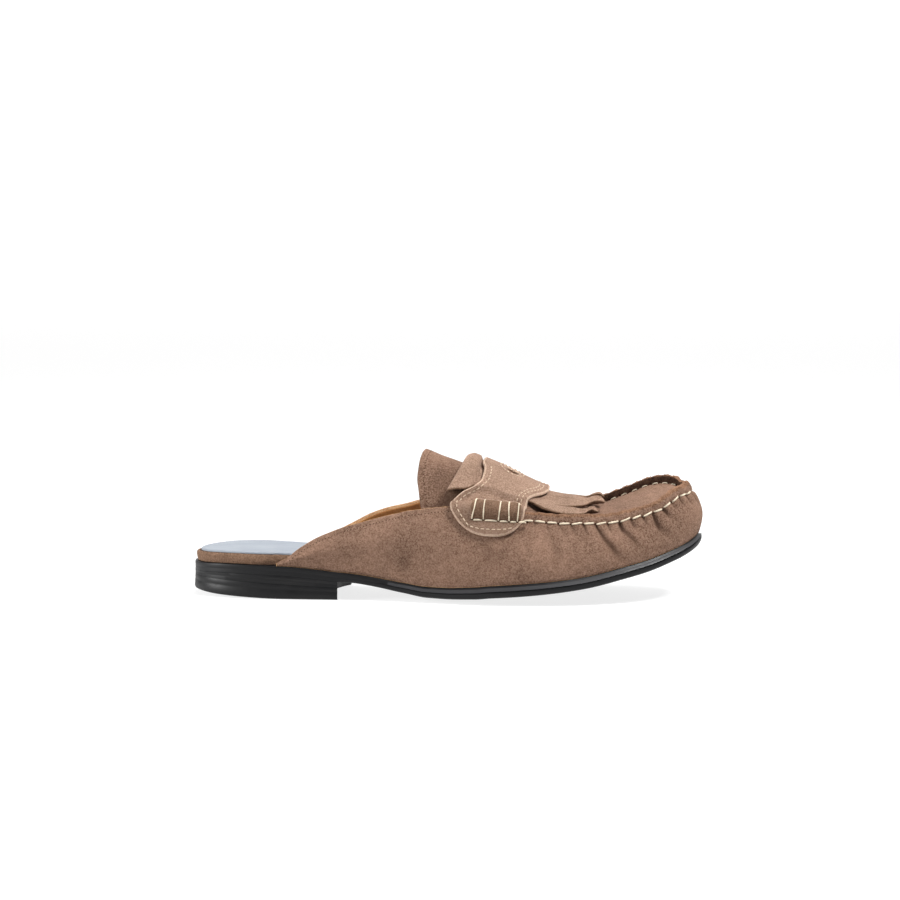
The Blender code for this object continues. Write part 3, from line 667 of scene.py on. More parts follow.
sockBlue = makeSockBlue()
creamThread = makeThread("thread_cream", linear(178, 162, 136), linear(222, 210, 188))
beigeThread = makeThread("thread_beige", linear(164, 142, 120), linear(204, 184, 160))
holeDark = makeHoleDark()
print("materials made")


soleSide = {
    "groove": 0.0006,
    "bevel": 0.0017,
    "bevelStart": (0.32, 0.50),
    "sheenStart": 0.115,
}


def soleRows(share):
    # share of the edge from its top, and inset, down the side; the upper band leans in like a bevel
    start, stop = soleSide["bevelStart"]
    lean = ease((share - start) / (stop - start))
    bevel = soleSide["bevel"] * lean
    groove = soleSide["groove"] * (0.10 + 0.90 * lean)
    under = 0.05 + 0.95 * ease((share - 0.29) / 0.05)
    return (
        (0.00, 0.0003 + bevel * 1.2),
        (0.05, 0.0001 + bevel * 1.1),
        (0.16, bevel),
        (0.22, bevel * 0.75),
        (0.34, bevel * 0.25),
        (0.43, bevel * 0.04),
        (0.46, groove),
        (0.50, groove),
        (0.53, 0.0001),
        (0.62, 0.0),
        (0.78, 0.0001),
        (0.90, 0.0005 * under),
        (0.96, 0.0010 * under),
        (1.00, 0.0019 * under),
    )


def makeOutsole():
    counts, columns = (26, 130, 60), 25
    count = len(soleRows(np.array(0.5)))
    layers = []
    for k in range(count):
        depth = lambda share, arcs, k=k: soleRows(share)[k][1]
        plan = planRibs(depth, columns, counts)
        x = plan[:, :, 0]
        drop = soleRows(np.array(0.5))[k][0]
        middle = crossing(plan) if k == count - 1 else 0.0
        level = soleTop(x) * (1 - drop) + np.maximum(edgeLevel(x, middle), 0.0) * drop
        layers.append(withLevel(plan, level))
    points, faces, rows = slabParts(layers)
    # painted highlight: the bevel in front of the heel gets a lighter grey where it would catch the light
    slots = np.where((rows >= 4) & (rows <= 6) & (points[faces[:, 0], 0] > soleSide["sheenStart"]), 1, 0)
    return addMesh("outsole", points, tidyFaces(faces), slots, [soleBlack, soleSheen], sharp=50)


place(makeOutsole(), "sole_black", "outsole")

heelLook = {
    "rocker": 0.0026,
    "rockerLength": 0.053,
    "liftFront": 0.0068,
    "liftBack": 0.0112,
    "line": 0.00006,
    "gap": 0.00005,
}


def heelPlan(inset, columns):
    end = shoe["heelLength"] / shoe["length"]
    plan = planRibs(inset, columns, (24, 44, 0), end)
    reach = np.linspace(0.0, 1.0, plan.shape[0]) ** 3
    plan[:, :, 0] -= shoe["breastHollow"] * reach[:, None] * crossing(plan)
    return plan


def heelFloor(x):
    return heelLook["rocker"] * np.clip(1 - x / heelLook["rockerLength"], 0.0, 1.0) ** 1.5


def liftLevel(x):
    share = np.clip(x / shoe["heelLength"], 0.0, 1.0)
    return heelLook["liftBack"] + (heelLook["liftFront"] - heelLook["liftBack"]) * share


def makeStack(name, rows, top, low):
    # block with a layer for each row: share of its height from the top, and inset
    layers = []
    for share, inset in rows:
        plan = heelPlan(inset, 17)
        x = plan[:, :, 0]
        layers.append(withLevel(plan, top(x) * (1 - share) + low(x) * share))
    return addSlab(name, layers, soleBlack, 50)


def makeHeel():
    # a stacked line shows as a fine groove, here and in the top lift
    rows = ((0.0, 0.0001), (0.02, 0.0), (0.40, 0.0), (0.46, heelLook["line"]), (0.52, 0.0),
            (0.98, 0.0), (1.0, 0.0001))
    return makeStack("heel", rows, lambda x: edgeLevel(x) - heelLook["gap"],
                     lambda x: liftLevel(x) + heelLook["gap"])


def makeTopLift():
    rows = ((0.0, 0.0001), (0.02, 0.0), (0.30, -0.0001), (0.36, heelLook["line"]), (0.42, -0.0002),
            (0.84, -0.0004), (0.95, -0.0001), (1.0, 0.0010))
    return makeStack("top_lift", rows, liftLevel, heelFloor)


place(makeHeel(), "sole_black", "heel")
place(makeTopLift(), "sole_black", "top_lift")
print("sole, heel and top lift made")

footbedLook = {
    "fuzz": 0.00035,
    "fuzzStep": 0.0011,
    "sockThickness": 0.0012,
    "sockInset": 0.0024,
}


def footbedInset(share):
    inside = shoe["featherInset"] + shoe["wall"] + 0.0004
    rows = ((0.0, 0.0012), (0.125, 0.0014), (0.155, 0.0028), (0.172, 0.0041),
            (0.205, inside), (1.0, inside))
    return smooth(rows, 1, share)


def footbedHeight(x):
    rows = ((0.0, 1.0), (0.21, 1.03), (0.31, 0.95), (0.41, 0.72), (0.52, 0.51), (1.0, 0.48))
    return smooth(rows, 1, x / shoe["length"]) * shoe["footbedThickness"]


def makeFootbed():
    layers = []
    step, fluff = footbedLook["fuzzStep"], footbedLook["fuzz"]
    # share of its height from the floor of the piece, and inset
    rows = ((1.0, 0.0018), (1.04, 0.0010), (0.97, 0.0004), (0.86, 0.0001), (0.6, -0.0002),
            (0.3, 0.0), (0.0, 0.0005))
    for k, (share, inset) in enumerate(rows):
        def depth(place, arcs):
            ragged = wander(arcs, step * 3.1, 5 + k) * fluff * (share > 0.8)
            return footbedInset(place) + inset + ragged
        plan = planRibs(depth, 15, (90, 200, 60))
        x = plan[:, :, 0]
        fuzz = wander(x, step * 2.3, 9 + k) * fluff * 0.7 * (share > 0.9)
        layers.append(withLevel(plan, soleTop(x) + shoe["fit"] + footbedHeight(x) * share + fuzz))
    return addSlab("footbed", layers, rollSuede, 60)


def makeSock():
    layers = []
    for share, inset in ((1.0, 0.0012), (0.9, 0.0004), (0.6, 0.0), (0.0, 0.0)):
        depth = lambda place, arcs: footbedInset(place) + footbedLook["sockInset"] + inset
        plan = planRibs(depth, 21, (24, 100, 30))
        x = plan[:, :, 0]
        level = soleTop(x) + footbedHeight(x) + 2 * shoe["fit"] + footbedLook["sockThickness"] * share
        layers.append(withLevel(plan, level))
    return addSlab("sock", layers, sockBlue, 60)


place(makeFootbed(), "suede", "footbed")
place(makeSock(), "sock_blue", "sock")
print("footbed and sock made")

upperLook = {
    "body": 250,
    "toe": 120,
    "across": 44,
    "wallRows": 30,
    "seamRows": 5,
    "gatherFrom": 0.655,
    "gatherPitch": 0.0069,
    "gatherDepth": 0.0022,
    # least and most of each gather's run down the wall, share of the depth, width and lean
    "gatherReach": (0.006, 0.012),
    "gatherShare": (0.7, 1.15),
    "gatherWidth": (0.0008, 0.0013),
    "gatherLean": (0.05, 0.60),
    "swellStart": 0.0028,
    # depth of a trough at which its painted shade is full
    "foldShade": 0.0012,
    "lump": 0.0006,
    "fuzz": 0.00028,
    "seed": 11,
    "leastWall": 0.0012,
    "seamFall": 0.9,
    "seamBow": (0.0005, 0.0004, 0.0003),
    "throatRows": 0.42,
    "ridgeStart": 0.185,
}

# Soft creases of the outer wall: place along, start under the seam, length, half width, depth, drift
wallCreases = (
    (0.595, 0.012, 0.020, 0.0042, 0.0008, 0.10),
    (0.628, 0.010, 0.024, 0.0036, 0.0009, -0.12),
    (0.665, 0.008, 0.018, 0.0032, 0.0006, 0.15),
    (0.715, 0.006, 0.022, 0.0036, 0.0007, 0.20),
    (0.800, 0.004, 0.021, 0.0028, 0.0014, 0.60),
    (0.842, 0.002, 0.016, 0.0022, 0.0013, 0.55),
    (0.903, 0.003, 0.015, 0.0022, 0.0012, 0.50),
    (0.440, 0.016, 0.022, 0.0060, 0.0007, -0.30),
)


def seamLevel(x, column):
    share = x / shoe["length"]
    quarter = smooth(toplineTable, column, share) * shoe["quarterHeight"]
    seam = smooth(seamTopTable, column, share) * shoe["toeWall"]
    return soleTop(x) + np.where(share < seamTopTable[0][0], quarter, seam)


def seamStand(share):
    # 0 along the topline, 1 where the seam stands up
    return ease((share - shoe["seamStart"]) / shoe["seamBlend"])


def subdivided(first, second, count, bow=0.0):
    # rows between two rows, bowed out along a given offset
    parts = np.linspace(0.0, 1.0, count + 1)[1:]
    return [first * (1 - part) + second * part + bow * math.sin(part * math.pi) for part in parts]


def wallSide(side, arcs, column, wallRows, seamRows):
    outline = side.read(side.points, arcs)
    inward = side.read(side.inward, arcs)
    share = outline[:, 0] / shoe["length"]
    flat = np.concatenate((inward, np.zeros((len(arcs), 1))), axis=1)
    up = np.array((0.0, 0.0, 1.0))
    foot = outline + inward * (smooth(featherTable, 1, share) * shoe["featherInset"])[:, None]
    foot = np.concatenate((foot, (soleTop(foot[:, 0]) + shoe["fit"])[:, None]), axis=1)
    crest = outline + inward * (smooth(seamPlanTable, column, share) * shoe["ballWidth"])[:, None]
    crest = np.concatenate((crest, seamLevel(crest[:, 0], column)[:, None]), axis=1)
    height = np.maximum(crest[:, 2] - foot[:, 2], upperLook["leastWall"])
    crest[:, 2] = foot[:, 2] + height
    lean = math.radians(shoe["seamLean"])
    rise = up * math.cos(lean) + flat * math.sin(lean)
    drop = shoe["seamHeight"] * np.minimum(1.0, height / (3 * shoe["seamHeight"]))
    stitch = crest - rise * drop[:, None]
    bulge = (smooth(featherTable, 2, share) * shoe["wallBulge"])[:, None]
    low = foot + up * (height * 0.48)[:, None] - flat * bulge
    high = stitch - rise * (height * 0.30)[:, None] - flat * bulge * 0.4
    rows = []
    for part in np.linspace(0.0, 1.0, wallRows):
        rest = 1 - part
        rows.append(rest ** 3 * foot + 3 * rest ** 2 * part * low
                    + 3 * rest * part ** 2 * high + part ** 3 * stitch)
    stand = seamStand(crest[:, 0] / shoe["length"])[:, None]
    width = shoe["seamWidth"] * np.minimum(1.0, height / (3 * shoe["seamHeight"]))[:, None]
    lip = crest + flat * width
    apron = lip - up * (shoe["seamHeight"] * upperLook["seamFall"]) * stand
    middleLow = stitch + (apron - stitch) / 3
    middleHigh = stitch + (apron - stitch) * 2 / 3
    innerCrest = crest * (1 - stand) + middleLow * stand
    innerLip = lip * (1 - stand) + middleHigh * stand
    sideBow, topBow, innerBow = upperLook["seamBow"]
    outer = subdivided(stitch, crest, seamRows, -flat * sideBow * stand)
    outer += subdivided(crest, lip, seamRows, up * topBow * stand)
    outer += subdivided(lip, apron, seamRows, flat * innerBow * stand)
    inner = subdivided(stitch, innerCrest, seamRows)
    inner += subdivided(innerCrest, innerLip, seamRows)
    inner += subdivided(innerLip, apron, seamRows)
    return rows + outer, rows + inner


def upperGrids(body, toe, across, wallRows, seamRows):
    throat = int(round(body * upperLook["throatRows"]))
    sides = []
    for side, start, column in zip((outerSide, innerSide), shoe["wallStart"], (1, 2)):
        behind = side.arcAt(np.linspace(start, shoe["throat"], throat + 1))[:-1]
        arcs = np.concatenate((behind, stations(side, shoe["throat"], body - throat, toe)))
        sides.append(wallSide(side, arcs, column, wallRows, seamRows))
    outer, inner = sides
    left, right = outer[0][-1], inner[0][-1]
    share = (left[:, 0] + right[:, 0]) / 2 / shoe["length"]
    rise = smooth(instepTable, 1, share) * shoe["instepRise"]
    rise = rise - shoe["seamHeight"] * upperLook["seamFall"] * (1 - seamStand(share))
    apron = []
    # the apron's lines along the shoe are closer together near the seam
    turn = math.pi / 2 * 0.96
    for spot in np.linspace(-1.0, 1.0, across + 1)[1:-1]:
        turned = math.sin(spot * turn) / math.sin(turn)
        mix = (1 + turned) / 2
        points = left * (1 - mix) + right * mix
        points[:, 2] += rise * (1 - turned ** 2) ** 0.75
        apron.append(points)
    stacked = [np.stack(outer[k] + apron + inner[k][::-1], axis=1) for k in (0, 1)]
    return stacked[0], stacked[1], throat


def gatherField(arcs, depths, start, seed):
    # soft troughs that run down the wall from between the hand stitches
    look = upperLook
    rng = np.random.default_rng(seed)
    field = np.zeros_like(depths)
    pitch = look["gatherPitch"]
    for spot in np.arange(start, arcs.max() + 0.02, pitch):
        fade = ease((spot - start + 0.004) / 0.060) * 0.8 + 0.2
        reach = rng.uniform(*look["gatherReach"])
        deep = look["gatherDepth"] * rng.uniform(*look["gatherShare"]) * fade
        wide = rng.uniform(*look["gatherWidth"])
        drift = rng.uniform(*look["gatherLean"])
        run = np.clip(depths, 0.0, None) / reach
        across = np.abs(arcs - spot - drift * depths) / (wide * (1 + 0.9 * run))
        below = ease(depths / look["swellStart"])
        field -= deep * (0.72 + 0.28 * below) * np.exp(-across ** 1.35) * np.exp(-(run ** 1.7) * 1.2)
        # the wall puffs out between two folds
        swell = (arcs - spot - drift * depths - pitch / 2) / (pitch * 0.36)
        field += deep * 0.65 * below * np.exp(-swell ** 2) * np.exp(-(run ** 1.5) * 1.4)
    return field


def creaseField(arcs, depths, stitchX):
    field = np.zeros_like(depths)
    for along, top, length, wide, deep, drift in wallCreases:
        spot = np.interp(along * shoe["length"], stitchX, arcs[:, 0])
        run = (depths - top) / length
        across = (arcs - spot - drift * (depths - top)) / wide
        down = np.exp(-((run - 0.45) / 0.42) ** 2)
        beside = np.exp(-((across - 1.8) / 1.1) ** 2)
        field += -deep * (down * np.exp(-across ** 2)) + 0.4 * deep * (down * beside)
    return field


# Kept by makeUpper for the threads: the dressed wall, and the inner foot of the seam, for each side
wallSkin = []
innerFeet = []


def wallAt(side, arc, below):
    # point and outward normal on the dressed wall, at an arc of the seam and a distance under its crest
    skin = wallSkin[side]
    row = float(np.interp(arc, skin["arcs"], np.arange(len(skin["arcs"]))))
    low = min(int(row), len(skin["arcs"]) - 2)
    found = []
    for field in ("points", "normals"):
        ribs = [readRows(below, skin["below"][r], skin[field][r]) for r in (low, low + 1)]
        found.append(ribs[0] * (1 - row + low) + ribs[1] * (row - low))
    return found[0], unit(found[1])


def puckerSeam(view, outward, arcs, begin, stand, side):
    # the seam pinches in at each hand stitch and has a ragged, fuzzy skin
    look = upperLook
    count = 3 * look["seamRows"]
    beat = np.cos((arcs - begin) / look["gatherPitch"] * 2 * math.pi)
    beat = beat * (0.75 + 0.25 * wander(arcs, 0.031, 50 + side))
    pinch = -look["lump"] * beat * stand
    for k in range(count):
        row = view[:, look["wallRows"] + k]
        part = (k + 1) / count
        face = math.cos(part * math.pi)
        fuzz = wander(arcs + part * 0.003, 0.0023, 60 + side + k) * look["fuzz"] * stand
        fuzz = fuzz + wander(arcs, 0.0011, 90 + side + k) * look["fuzz"] * 0.7 * stand
        row += outward * ((pinch + fuzz) * face)[:, None]
        row[:, 2] += (pinch * 0.5 + fuzz) * math.sin(part * math.pi)


def makeUpper():
    look = upperLook
    wallRows, seamRows = look["wallRows"], look["seamRows"]
    outside, base, throat = upperGrids(look["body"], look["toe"], look["across"], wallRows, seamRows)
    rows, columns = outside.shape[:2]
    keep = np.ones((rows - 1, columns - 1), dtype=bool)
    top = wallRows - 1 + seamRows
    keep[:throat, top:columns - 1 - top] = False
    baseNormals = surfaceNormals(base)
    ends = wallRows + 3 * seamRows
    shared = unit(baseNormals[-1] + baseNormals[-1, ::-1])
    baseNormals[-1, :ends], baseNormals[-1, -ends:] = shared[:ends], shared[-ends:]
    for column in (0, -1):
        baseNormals[:, column, 2] = 0.0
        baseNormals[:, column] = unit(baseNormals[:, column])
    inside = base - baseNormals * shoe["wall"]
    inside[:, (0, -1), 2] = base[:, (0, -1), 2]
    shade = np.zeros((rows, columns))
    for side, direction in ((0, 1), (1, -1)):
        view = outside[:, ::direction]
        normals = baseNormals[:, ::direction]
        stitch = view[:, wallRows - 1].copy()
        arcs = runLength(stitch)
        begin = np.interp(look["gatherFrom"] * shoe["length"], stitch[:, 0], arcs)
        down = np.linalg.norm(view[:, :wallRows] - stitch[:, None], axis=2)
        wide = np.broadcast_to(arcs[:, None], down.shape)
        # the last ribs of both sides meet, so the folds fade there
        meet = ease((arcs[-1] - arcs) / 0.002)[:, None]
        field = gatherField(wide, down, begin, look["seed"] + side)
        if side == 0:
            field = field + creaseField(wide, down, stitch[:, 0])
        settle = ease(np.linspace(0.0, 1.0, wallRows) / 0.12)[None, :]
        field = field * settle * meet
        # painted shade: the troughs of the gathers and creases are darkened through the fold mask
        shade[:, ::direction][:, :wallRows] = np.clip(-field / look["foldShade"] - 0.20, 0.0, 1.0)
        fold = normals[:, :wallRows] * field[:, :, None]
        view[:, :wallRows] += fold
        inside[:, ::direction][:, :wallRows] += fold * 0.8
        stand = seamStand(stitch[:, 0] / shoe["length"]) * meet[:, 0]
        puckerSeam(view, normals[:, wallRows - 2], arcs, begin, stand, side)
        points = view[:, :top + 1][:, ::-1]
        below = np.concatenate((np.zeros((rows, 1)),
                                np.cumsum(np.linalg.norm(np.diff(points, axis=1), axis=2), axis=1)), axis=1)
        wallSkin.append({"arcs": arcs, "below": below, "points": points, "begin": begin,
                         "normals": surfaceNormals(points) * (-1 if side == 0 else 1), "x": stitch[:, 0]})
    for side, direction in ((0, 1), (1, -1)):
        view = outside[:, ::direction]
        foot, beside = view[:, ends - 1], view[:, ends + 1]
        innerFeet.append(foot + unit(beside - foot) * 0.0007 + np.array((0.0, 0.0, 0.0004)))
    points, faces, slots = shellParts(outside, inside, keep, 0.7, sewnEnd=True)
    cellColumns = np.broadcast_to(np.arange(columns - 1), (rows - 1, columns - 1))[keep]
    cellX = np.broadcast_to(outside[:-1, :1, 0], (rows - 1, columns - 1))[keep]
    near = np.minimum(cellColumns, columns - 2 - cellColumns)
    ridge = (near >= top - 1) & (near < ends - 1) & (cellX > look["ridgeStart"])
    # painted shade on the seam's inner face, from its lip down to the apron
    slots[:len(ridge)] = np.where(ridge, np.where(near < top + seamRows, 3, 4), 0)
    shades = np.concatenate((shade.reshape(-1), np.zeros(len(points) - rows * columns)))
    points, faces, marks = dropLoose(points, faces, {"fold": shades})
    surfaces = [suede, lining, cutEdge, ridgeEdge, ridgeInnerShade]
    return addMesh("upper", points, tidyFaces(faces), slots, surfaces, weld=4e-6, attributes=marks)


place(makeUpper(), "suede", "upper")
print("upper made")


class Instep:
    # the upper's surface from wall to wall; a place across it is 0 in the middle, 1 at the apron's edge
    # and 2 at the wall's foot
    def __init__(self, start, reach, rows, columns):
        self.start, self.reach, self.rows, self.columns = start, reach, rows, columns
        wallRows, seamRows = 14, 1
        outside, _, _ = upperGrids(150, 20, 40, wallRows, seamRows)
        share = outside[:, 0, 0] / shoe["length"]
        near = np.flatnonzero((share > start - 0.02) & (share < start + reach + 0.02))
        wall = wallRows + 1
        last = outside.shape[1]
        kept = [c for c in range(last) if c not in (wall, last - wall - 1)]
        self.across = np.linspace(-2.0, 2.0, columns + 1)
        ribs = np.stack([self.even(rib, wall) for rib in outside[near][:, kept]])
        x = np.linspace(start, start + reach, rows + 1) * shoe["length"]
        self.points = np.stack([readRows(x, ribs[:, c, 0], ribs[:, c]) for c in range(columns + 1)], axis=1)
        self.normals = surfaceNormals(self.points)

    def even(self, rib, wall):
        arcs = runLength(rib)
        marks = [arcs[0], arcs[wall], arcs[rib.shape[0] // 2], arcs[-1 - wall], arcs[-1]]
        return readRows(np.interp(self.across, (-2.0, -1.0, 0.0, 1.0, 2.0), marks), arcs, rib)

    def at(self, across, along, lift):
        across, along, lift = np.broadcast_arrays(across, along, lift)
        column = np.clip((across + 2.0) / 4.0 * self.columns, 0, self.columns - 0.001)
        row = np.clip((along - self.start) / self.reach * self.rows, 0, self.rows - 0.001)
        c, r = column.astype(int), row.astype(int)
        fc, fr = (column - c)[..., None], (row - r)[..., None]
        found = []
        for field in (self.points, self.normals):
            low = field[r, c] * (1 - fc) + field[r, c + 1] * fc
            high = field[r + 1, c] * (1 - fc) + field[r + 1, c + 1] * fc
            found.append(low * (1 - fr) + high * fr)
        return found[0] + unit(found[1]) * lift[..., None]


# start and reach as shares of the length, then the steps along and across
instep = Instep(0.40, 0.44, 319, 240)

# Place across, then the back and front edges along the shoe
tongueTable = (
    (0.00, 0.465, 0.592),
    (0.15, 0.461, 0.592),
    (0.35, 0.455, 0.592),
    (0.60, 0.451, 0.588),
    (0.75, 0.454, 0.545),
    (1.00, 0.460, 0.540),
    (1.25, 0.478, 0.535),
)
tongueLook = {
    "thickness": 0.0024,
    "clearance": 0.0006,
    "shade": 0.5,
}


def makeTongue():
    top = -(shoe["wall"] + tongueLook["clearance"])
    across = np.linspace(-1.25, 1.25, 121)
    back, front = smooth(tongueTable, 1, abs(across)), smooth(tongueTable, 2, abs(across))
    parts = np.linspace(0.0, 1.0, 61)
    along = back[:, None] * (1 - parts) + front[:, None] * parts
    wide = np.broadcast_to(across[:, None], along.shape)
    outside = instep.at(wide, along, top)
    inside = instep.at(wide, along, top - tongueLook["thickness"])
    keep = np.ones((120, 60), dtype=bool)
    points, faces, slots = shellParts(outside, inside, keep, 0.8)
    # painted shade where the tongue goes under the band
    under = ease((along - 0.466) / 0.034) * ease((abs(wide) - 0.10) / 0.5)
    shades = np.zeros(len(points))
    shades[:along.size] = tongueLook["shade"] * under.reshape(-1)
    return addMesh("tongue", points, tidyFaces(faces), slots, [suede, lining, suede], weld=None,
                   attributes={"fold": shades})


place(makeTongue(), "suede", "tongue")

# Place across, then the saddle's back and front edges along the shoe
saddleTable = (
    (0.00, 0.573, 0.694),
    (0.20, 0.571, 0.694),
    (0.40, 0.577, 0.688),
    (0.60, 0.576, 0.674),
    (0.71, 0.568, 0.666),
    (0.80, 0.553, 0.661),
    (0.86, 0.539, 0.659),
    (0.93, 0.527, 0.659),
    (1.04, 0.521, 0.658),
    (1.20, 0.533, 0.653),
    (1.28, 0.545, 0.645),
    (1.35, 0.563, 0.632),
    (1.385, 0.582, 0.616),
    (1.40, 0.600, 0.600),
)

# Middle of the band's thickness from its inner end, round the roll, to the fringe:
# share of the length, and height over the bulge
bandTable = (
    (0.5350, -0.33),
    (0.527, -0.33),
    (0.519, -0.22),
    (0.511, 0.22),
    (0.515, 0.62),
    (0.530, 0.87),
    (0.549, 0.88),
    (0.5600, 0.56),
    (0.5670, 0.27),
    (0.5760, 0.275),
    (0.616, 0.275),
    (0.650, 0.300),
    (0.695, 0.310),
    (0.736, 0.290),
    (0.770, 0.32),
    (0.805, 0.50),
)

# Share of the length, and the place across where the band ends
bandWidthTable = (
    (0.505, 0.80),
    (0.548, 0.78),
    (0.561, 0.70),
    (0.572, 0.68),
    (0.63, 0.76),
    (0.67, 0.80),
    (0.72, 0.90),
    (0.80, 0.88),
)
saddleLook = {
    "bridge": 0.0008,
    "rollHeight": 0.0032,
    "rollPlace": 1.12,
    "rollSpread": 0.088,
    "rollEnds": (0.558, 0.652),
    "wraps": (0.5645, 0.5835, 0.6125, 0.6305, 0.6480),
    "cutoutPlace": 0.621,
    "cutoutLength": 0.0095,
    "cutoutWidth": 0.0135,
    "seamPlace": 1.07,
    "seamSpread": 0.14,
    "tabStart": 0.03,
    "tabEase": 0.10,
    "tabShade": 0.44,
    # metres across the instep for each unit of place, near the cut-out
    "placeWidth": 0.0335,
}


def saddleLift(spot, share):
    # over the band in the middle, down on the wall beside it, with a bridge over the wall's edge
    look = saddleLook
    easing = ease((abs(spot) - smooth(bandWidthTable, 1, share) - look["tabStart"]) / look["tabEase"])
    overBand = shoe["kiltieThickness"] + 4.5 * shoe["fit"]
    fromSeam = (abs(spot) - look["seamPlace"]) / look["seamSpread"]
    overSeam = look["bridge"] * np.clip(1 - fromSeam ** 2, 0.0, None)
    return overBand + (1.3 * shoe["fit"] - overBand) * easing + overSeam


def rollHeight(spot, share):
    # the rolled edge is pulled in under each thread that wraps it
    ends = saddleLook["rollEnds"]
    fromMiddle = (abs(spot) - saddleLook["rollPlace"]) / saddleLook["rollSpread"]
    across = np.clip(1 - fromMiddle ** 2, 0.0, 1.0)
    ending = np.clip(np.minimum(share - ends[0], ends[1] - share) / 0.010, 0.0, 1.0)
    tight = sum(np.exp(-((share - wrap) / 0.0035) ** 2) for wrap in saddleLook["wraps"])
    return saddleLook["rollHeight"] * np.sqrt(across * (1 - (1 - ending) ** 2)) * (1 - 0.22 * tight)


def cutoutOffsets(wide, along):
    # how far each point stands from the cut-out's middle, in half lengths and half widths
    middle = instep.at(0.0, saddleLook["cutoutPlace"], 0.0)
    spot = instep.at(wide, along, 0.0)
    dx = (spot[..., 0] - middle[0]) / (saddleLook["cutoutLength"] / 2)
    dy = (spot[..., 1] - middle[1]) / (saddleLook["cutoutWidth"] / 2)
    return dx, dy, np.hypot(dx, dy)


def makeSaddle():
    end = saddleTable[-1][0]
    count, columns = 260, 64
    turn = math.pi / 2 * 0.95
    spots = (end - 0.008) * np.sin(np.linspace(-1.0, 1.0, count + 1) * turn) / math.sin(turn)
    back, front = smooth(saddleTable, 1, abs(spots)), smooth(saddleTable, 2, abs(spots))
    parts = np.linspace(0.0, 1.0, columns + 1)
    along = back[:, None] * (1 - parts) + front[:, None] * parts
    wide = np.broadcast_to(spots[:, None], along.shape).copy()
    # the cells inside the cut-out are left out, and the corners nearest to it move onto its edge
    away = cutoutOffsets(wide, along)[2]
    centre = (away[:-1, :-1] + away[1:, 1:] + away[1:, :-1] + away[:-1, 1:]) / 4
    keep = centre > 1.0
    hole = np.pad(~keep, 1)
    touches = hole[:-1, :-1] | hole[1:, :-1] | hole[:-1, 1:] | hole[1:, 1:]
    kept = np.pad(keep, 1)
    holds = kept[:-1, :-1] | kept[1:, :-1] | kept[:-1, 1:] | kept[1:, 1:]
    moved = touches & holds & (away < 2.0)
    for _ in range(4):
        dx, dy, away = cutoutOffsets(wide, along)
        slip = 1 / np.maximum(away, 1e-3) - 1
        slipX = dx * slip * saddleLook["cutoutLength"] / 2
        slipY = dy * slip * saddleLook["cutoutWidth"] / 2
        along = along + np.where(moved, slipX / shoe["length"], 0.0)
        wide = wide + np.where(moved, slipY / saddleLook["placeWidth"], 0.0)
    lifts = saddleLift(wide, along)
    inside = instep.at(wide, along, lifts)
    outside = instep.at(wide, along, lifts + shoe["saddleThickness"] + rollHeight(wide, along))
    points, faces, slots = shellParts(outside, inside, keep, 0.9)
    spotsAcross = np.abs((wide[:-1, :-1] + wide[1:, :-1]) / 2)[keep]
    places = along[:-1, :-1][keep]
    ends = saddleLook["rollEnds"]
    onRoll = np.abs(spotsAcross - saddleLook["rollPlace"]) < saddleLook["rollSpread"] * 0.95
    onRoll = onRoll & (places > ends[0]) & (places < ends[1])
    slots[:len(onRoll)] = np.where(onRoll, 2, 0)
    slots[2 * len(onRoll):] = 3
    # painted shade: the tab and the saddle's sides, which face sideways and down away from the light, are
    # darker
    shades = np.zeros(len(points))
    shades[:wide.size] = saddleLook["tabShade"] * ease((np.abs(wide.reshape(-1)) - 0.93) / 0.22)
    points, faces, marks = dropLoose(points, faces, {"fold": shades})
    surfaces = [topSuede, lining, rollSuede, paleEdge]
    return addMesh("saddle", points, tidyFaces(faces), slots, surfaces, weld=None, attributes=marks)


place(makeSaddle(), "suede", "saddle")
print("tongue and saddle made")

kiltieLook = {
    "slitWidth": 0.018,
    "slitStart": 0.712,
    "rollSlant": 0.029,
    "rollLength": 0.055,
    "bulge": 0.0048,
    "fingerEdges": (-0.70, -0.245, 0.245, 0.70),
    "fingerReach": (-0.008, 0.004, 0.0, 0.003, -0.006),
    "fingerCurl": (0.0006, 0.0034, 0.0008, 0.0016, 0.0010),
    "gapPlace": 0.705,
    "gapLength": 0.036,
    "gapLift": 0.0030,
    "edgeLift": 0.0018,
    "tipRound": 0.014,
    "fingerLength": 0.085,
    "fingerNarrowing": 0.24,
    "tipPlace": 0.775,
    "tipLength": 0.030,
}


def bandProfile(rollCount, flatCount):
    rows = np.array([(along * shoe["length"], lift * kiltieLook["bulge"]) for along, lift in bandTable])
    steps = runLength(rows)
    knots = [(step, row[0], row[1]) for step, row in zip(steps, rows)]
    # closer rows round the roll, which ends at the tenth row of the table
    turn = steps[9]
    reach = np.concatenate((np.linspace(0.0, turn, rollCount)[:-1], np.linspace(turn, steps[-1], flatCount)))
    line = np.stack([smooth(knots, column, reach) for column in (1, 2)], axis=1)
    tangents = unit(np.gradient(line, axis=0))
    sides = np.stack((-tangents[:, 1], tangents[:, 0]), axis=1) * shoe["kiltieThickness"] / 2
    return line + sides, line - sides, line


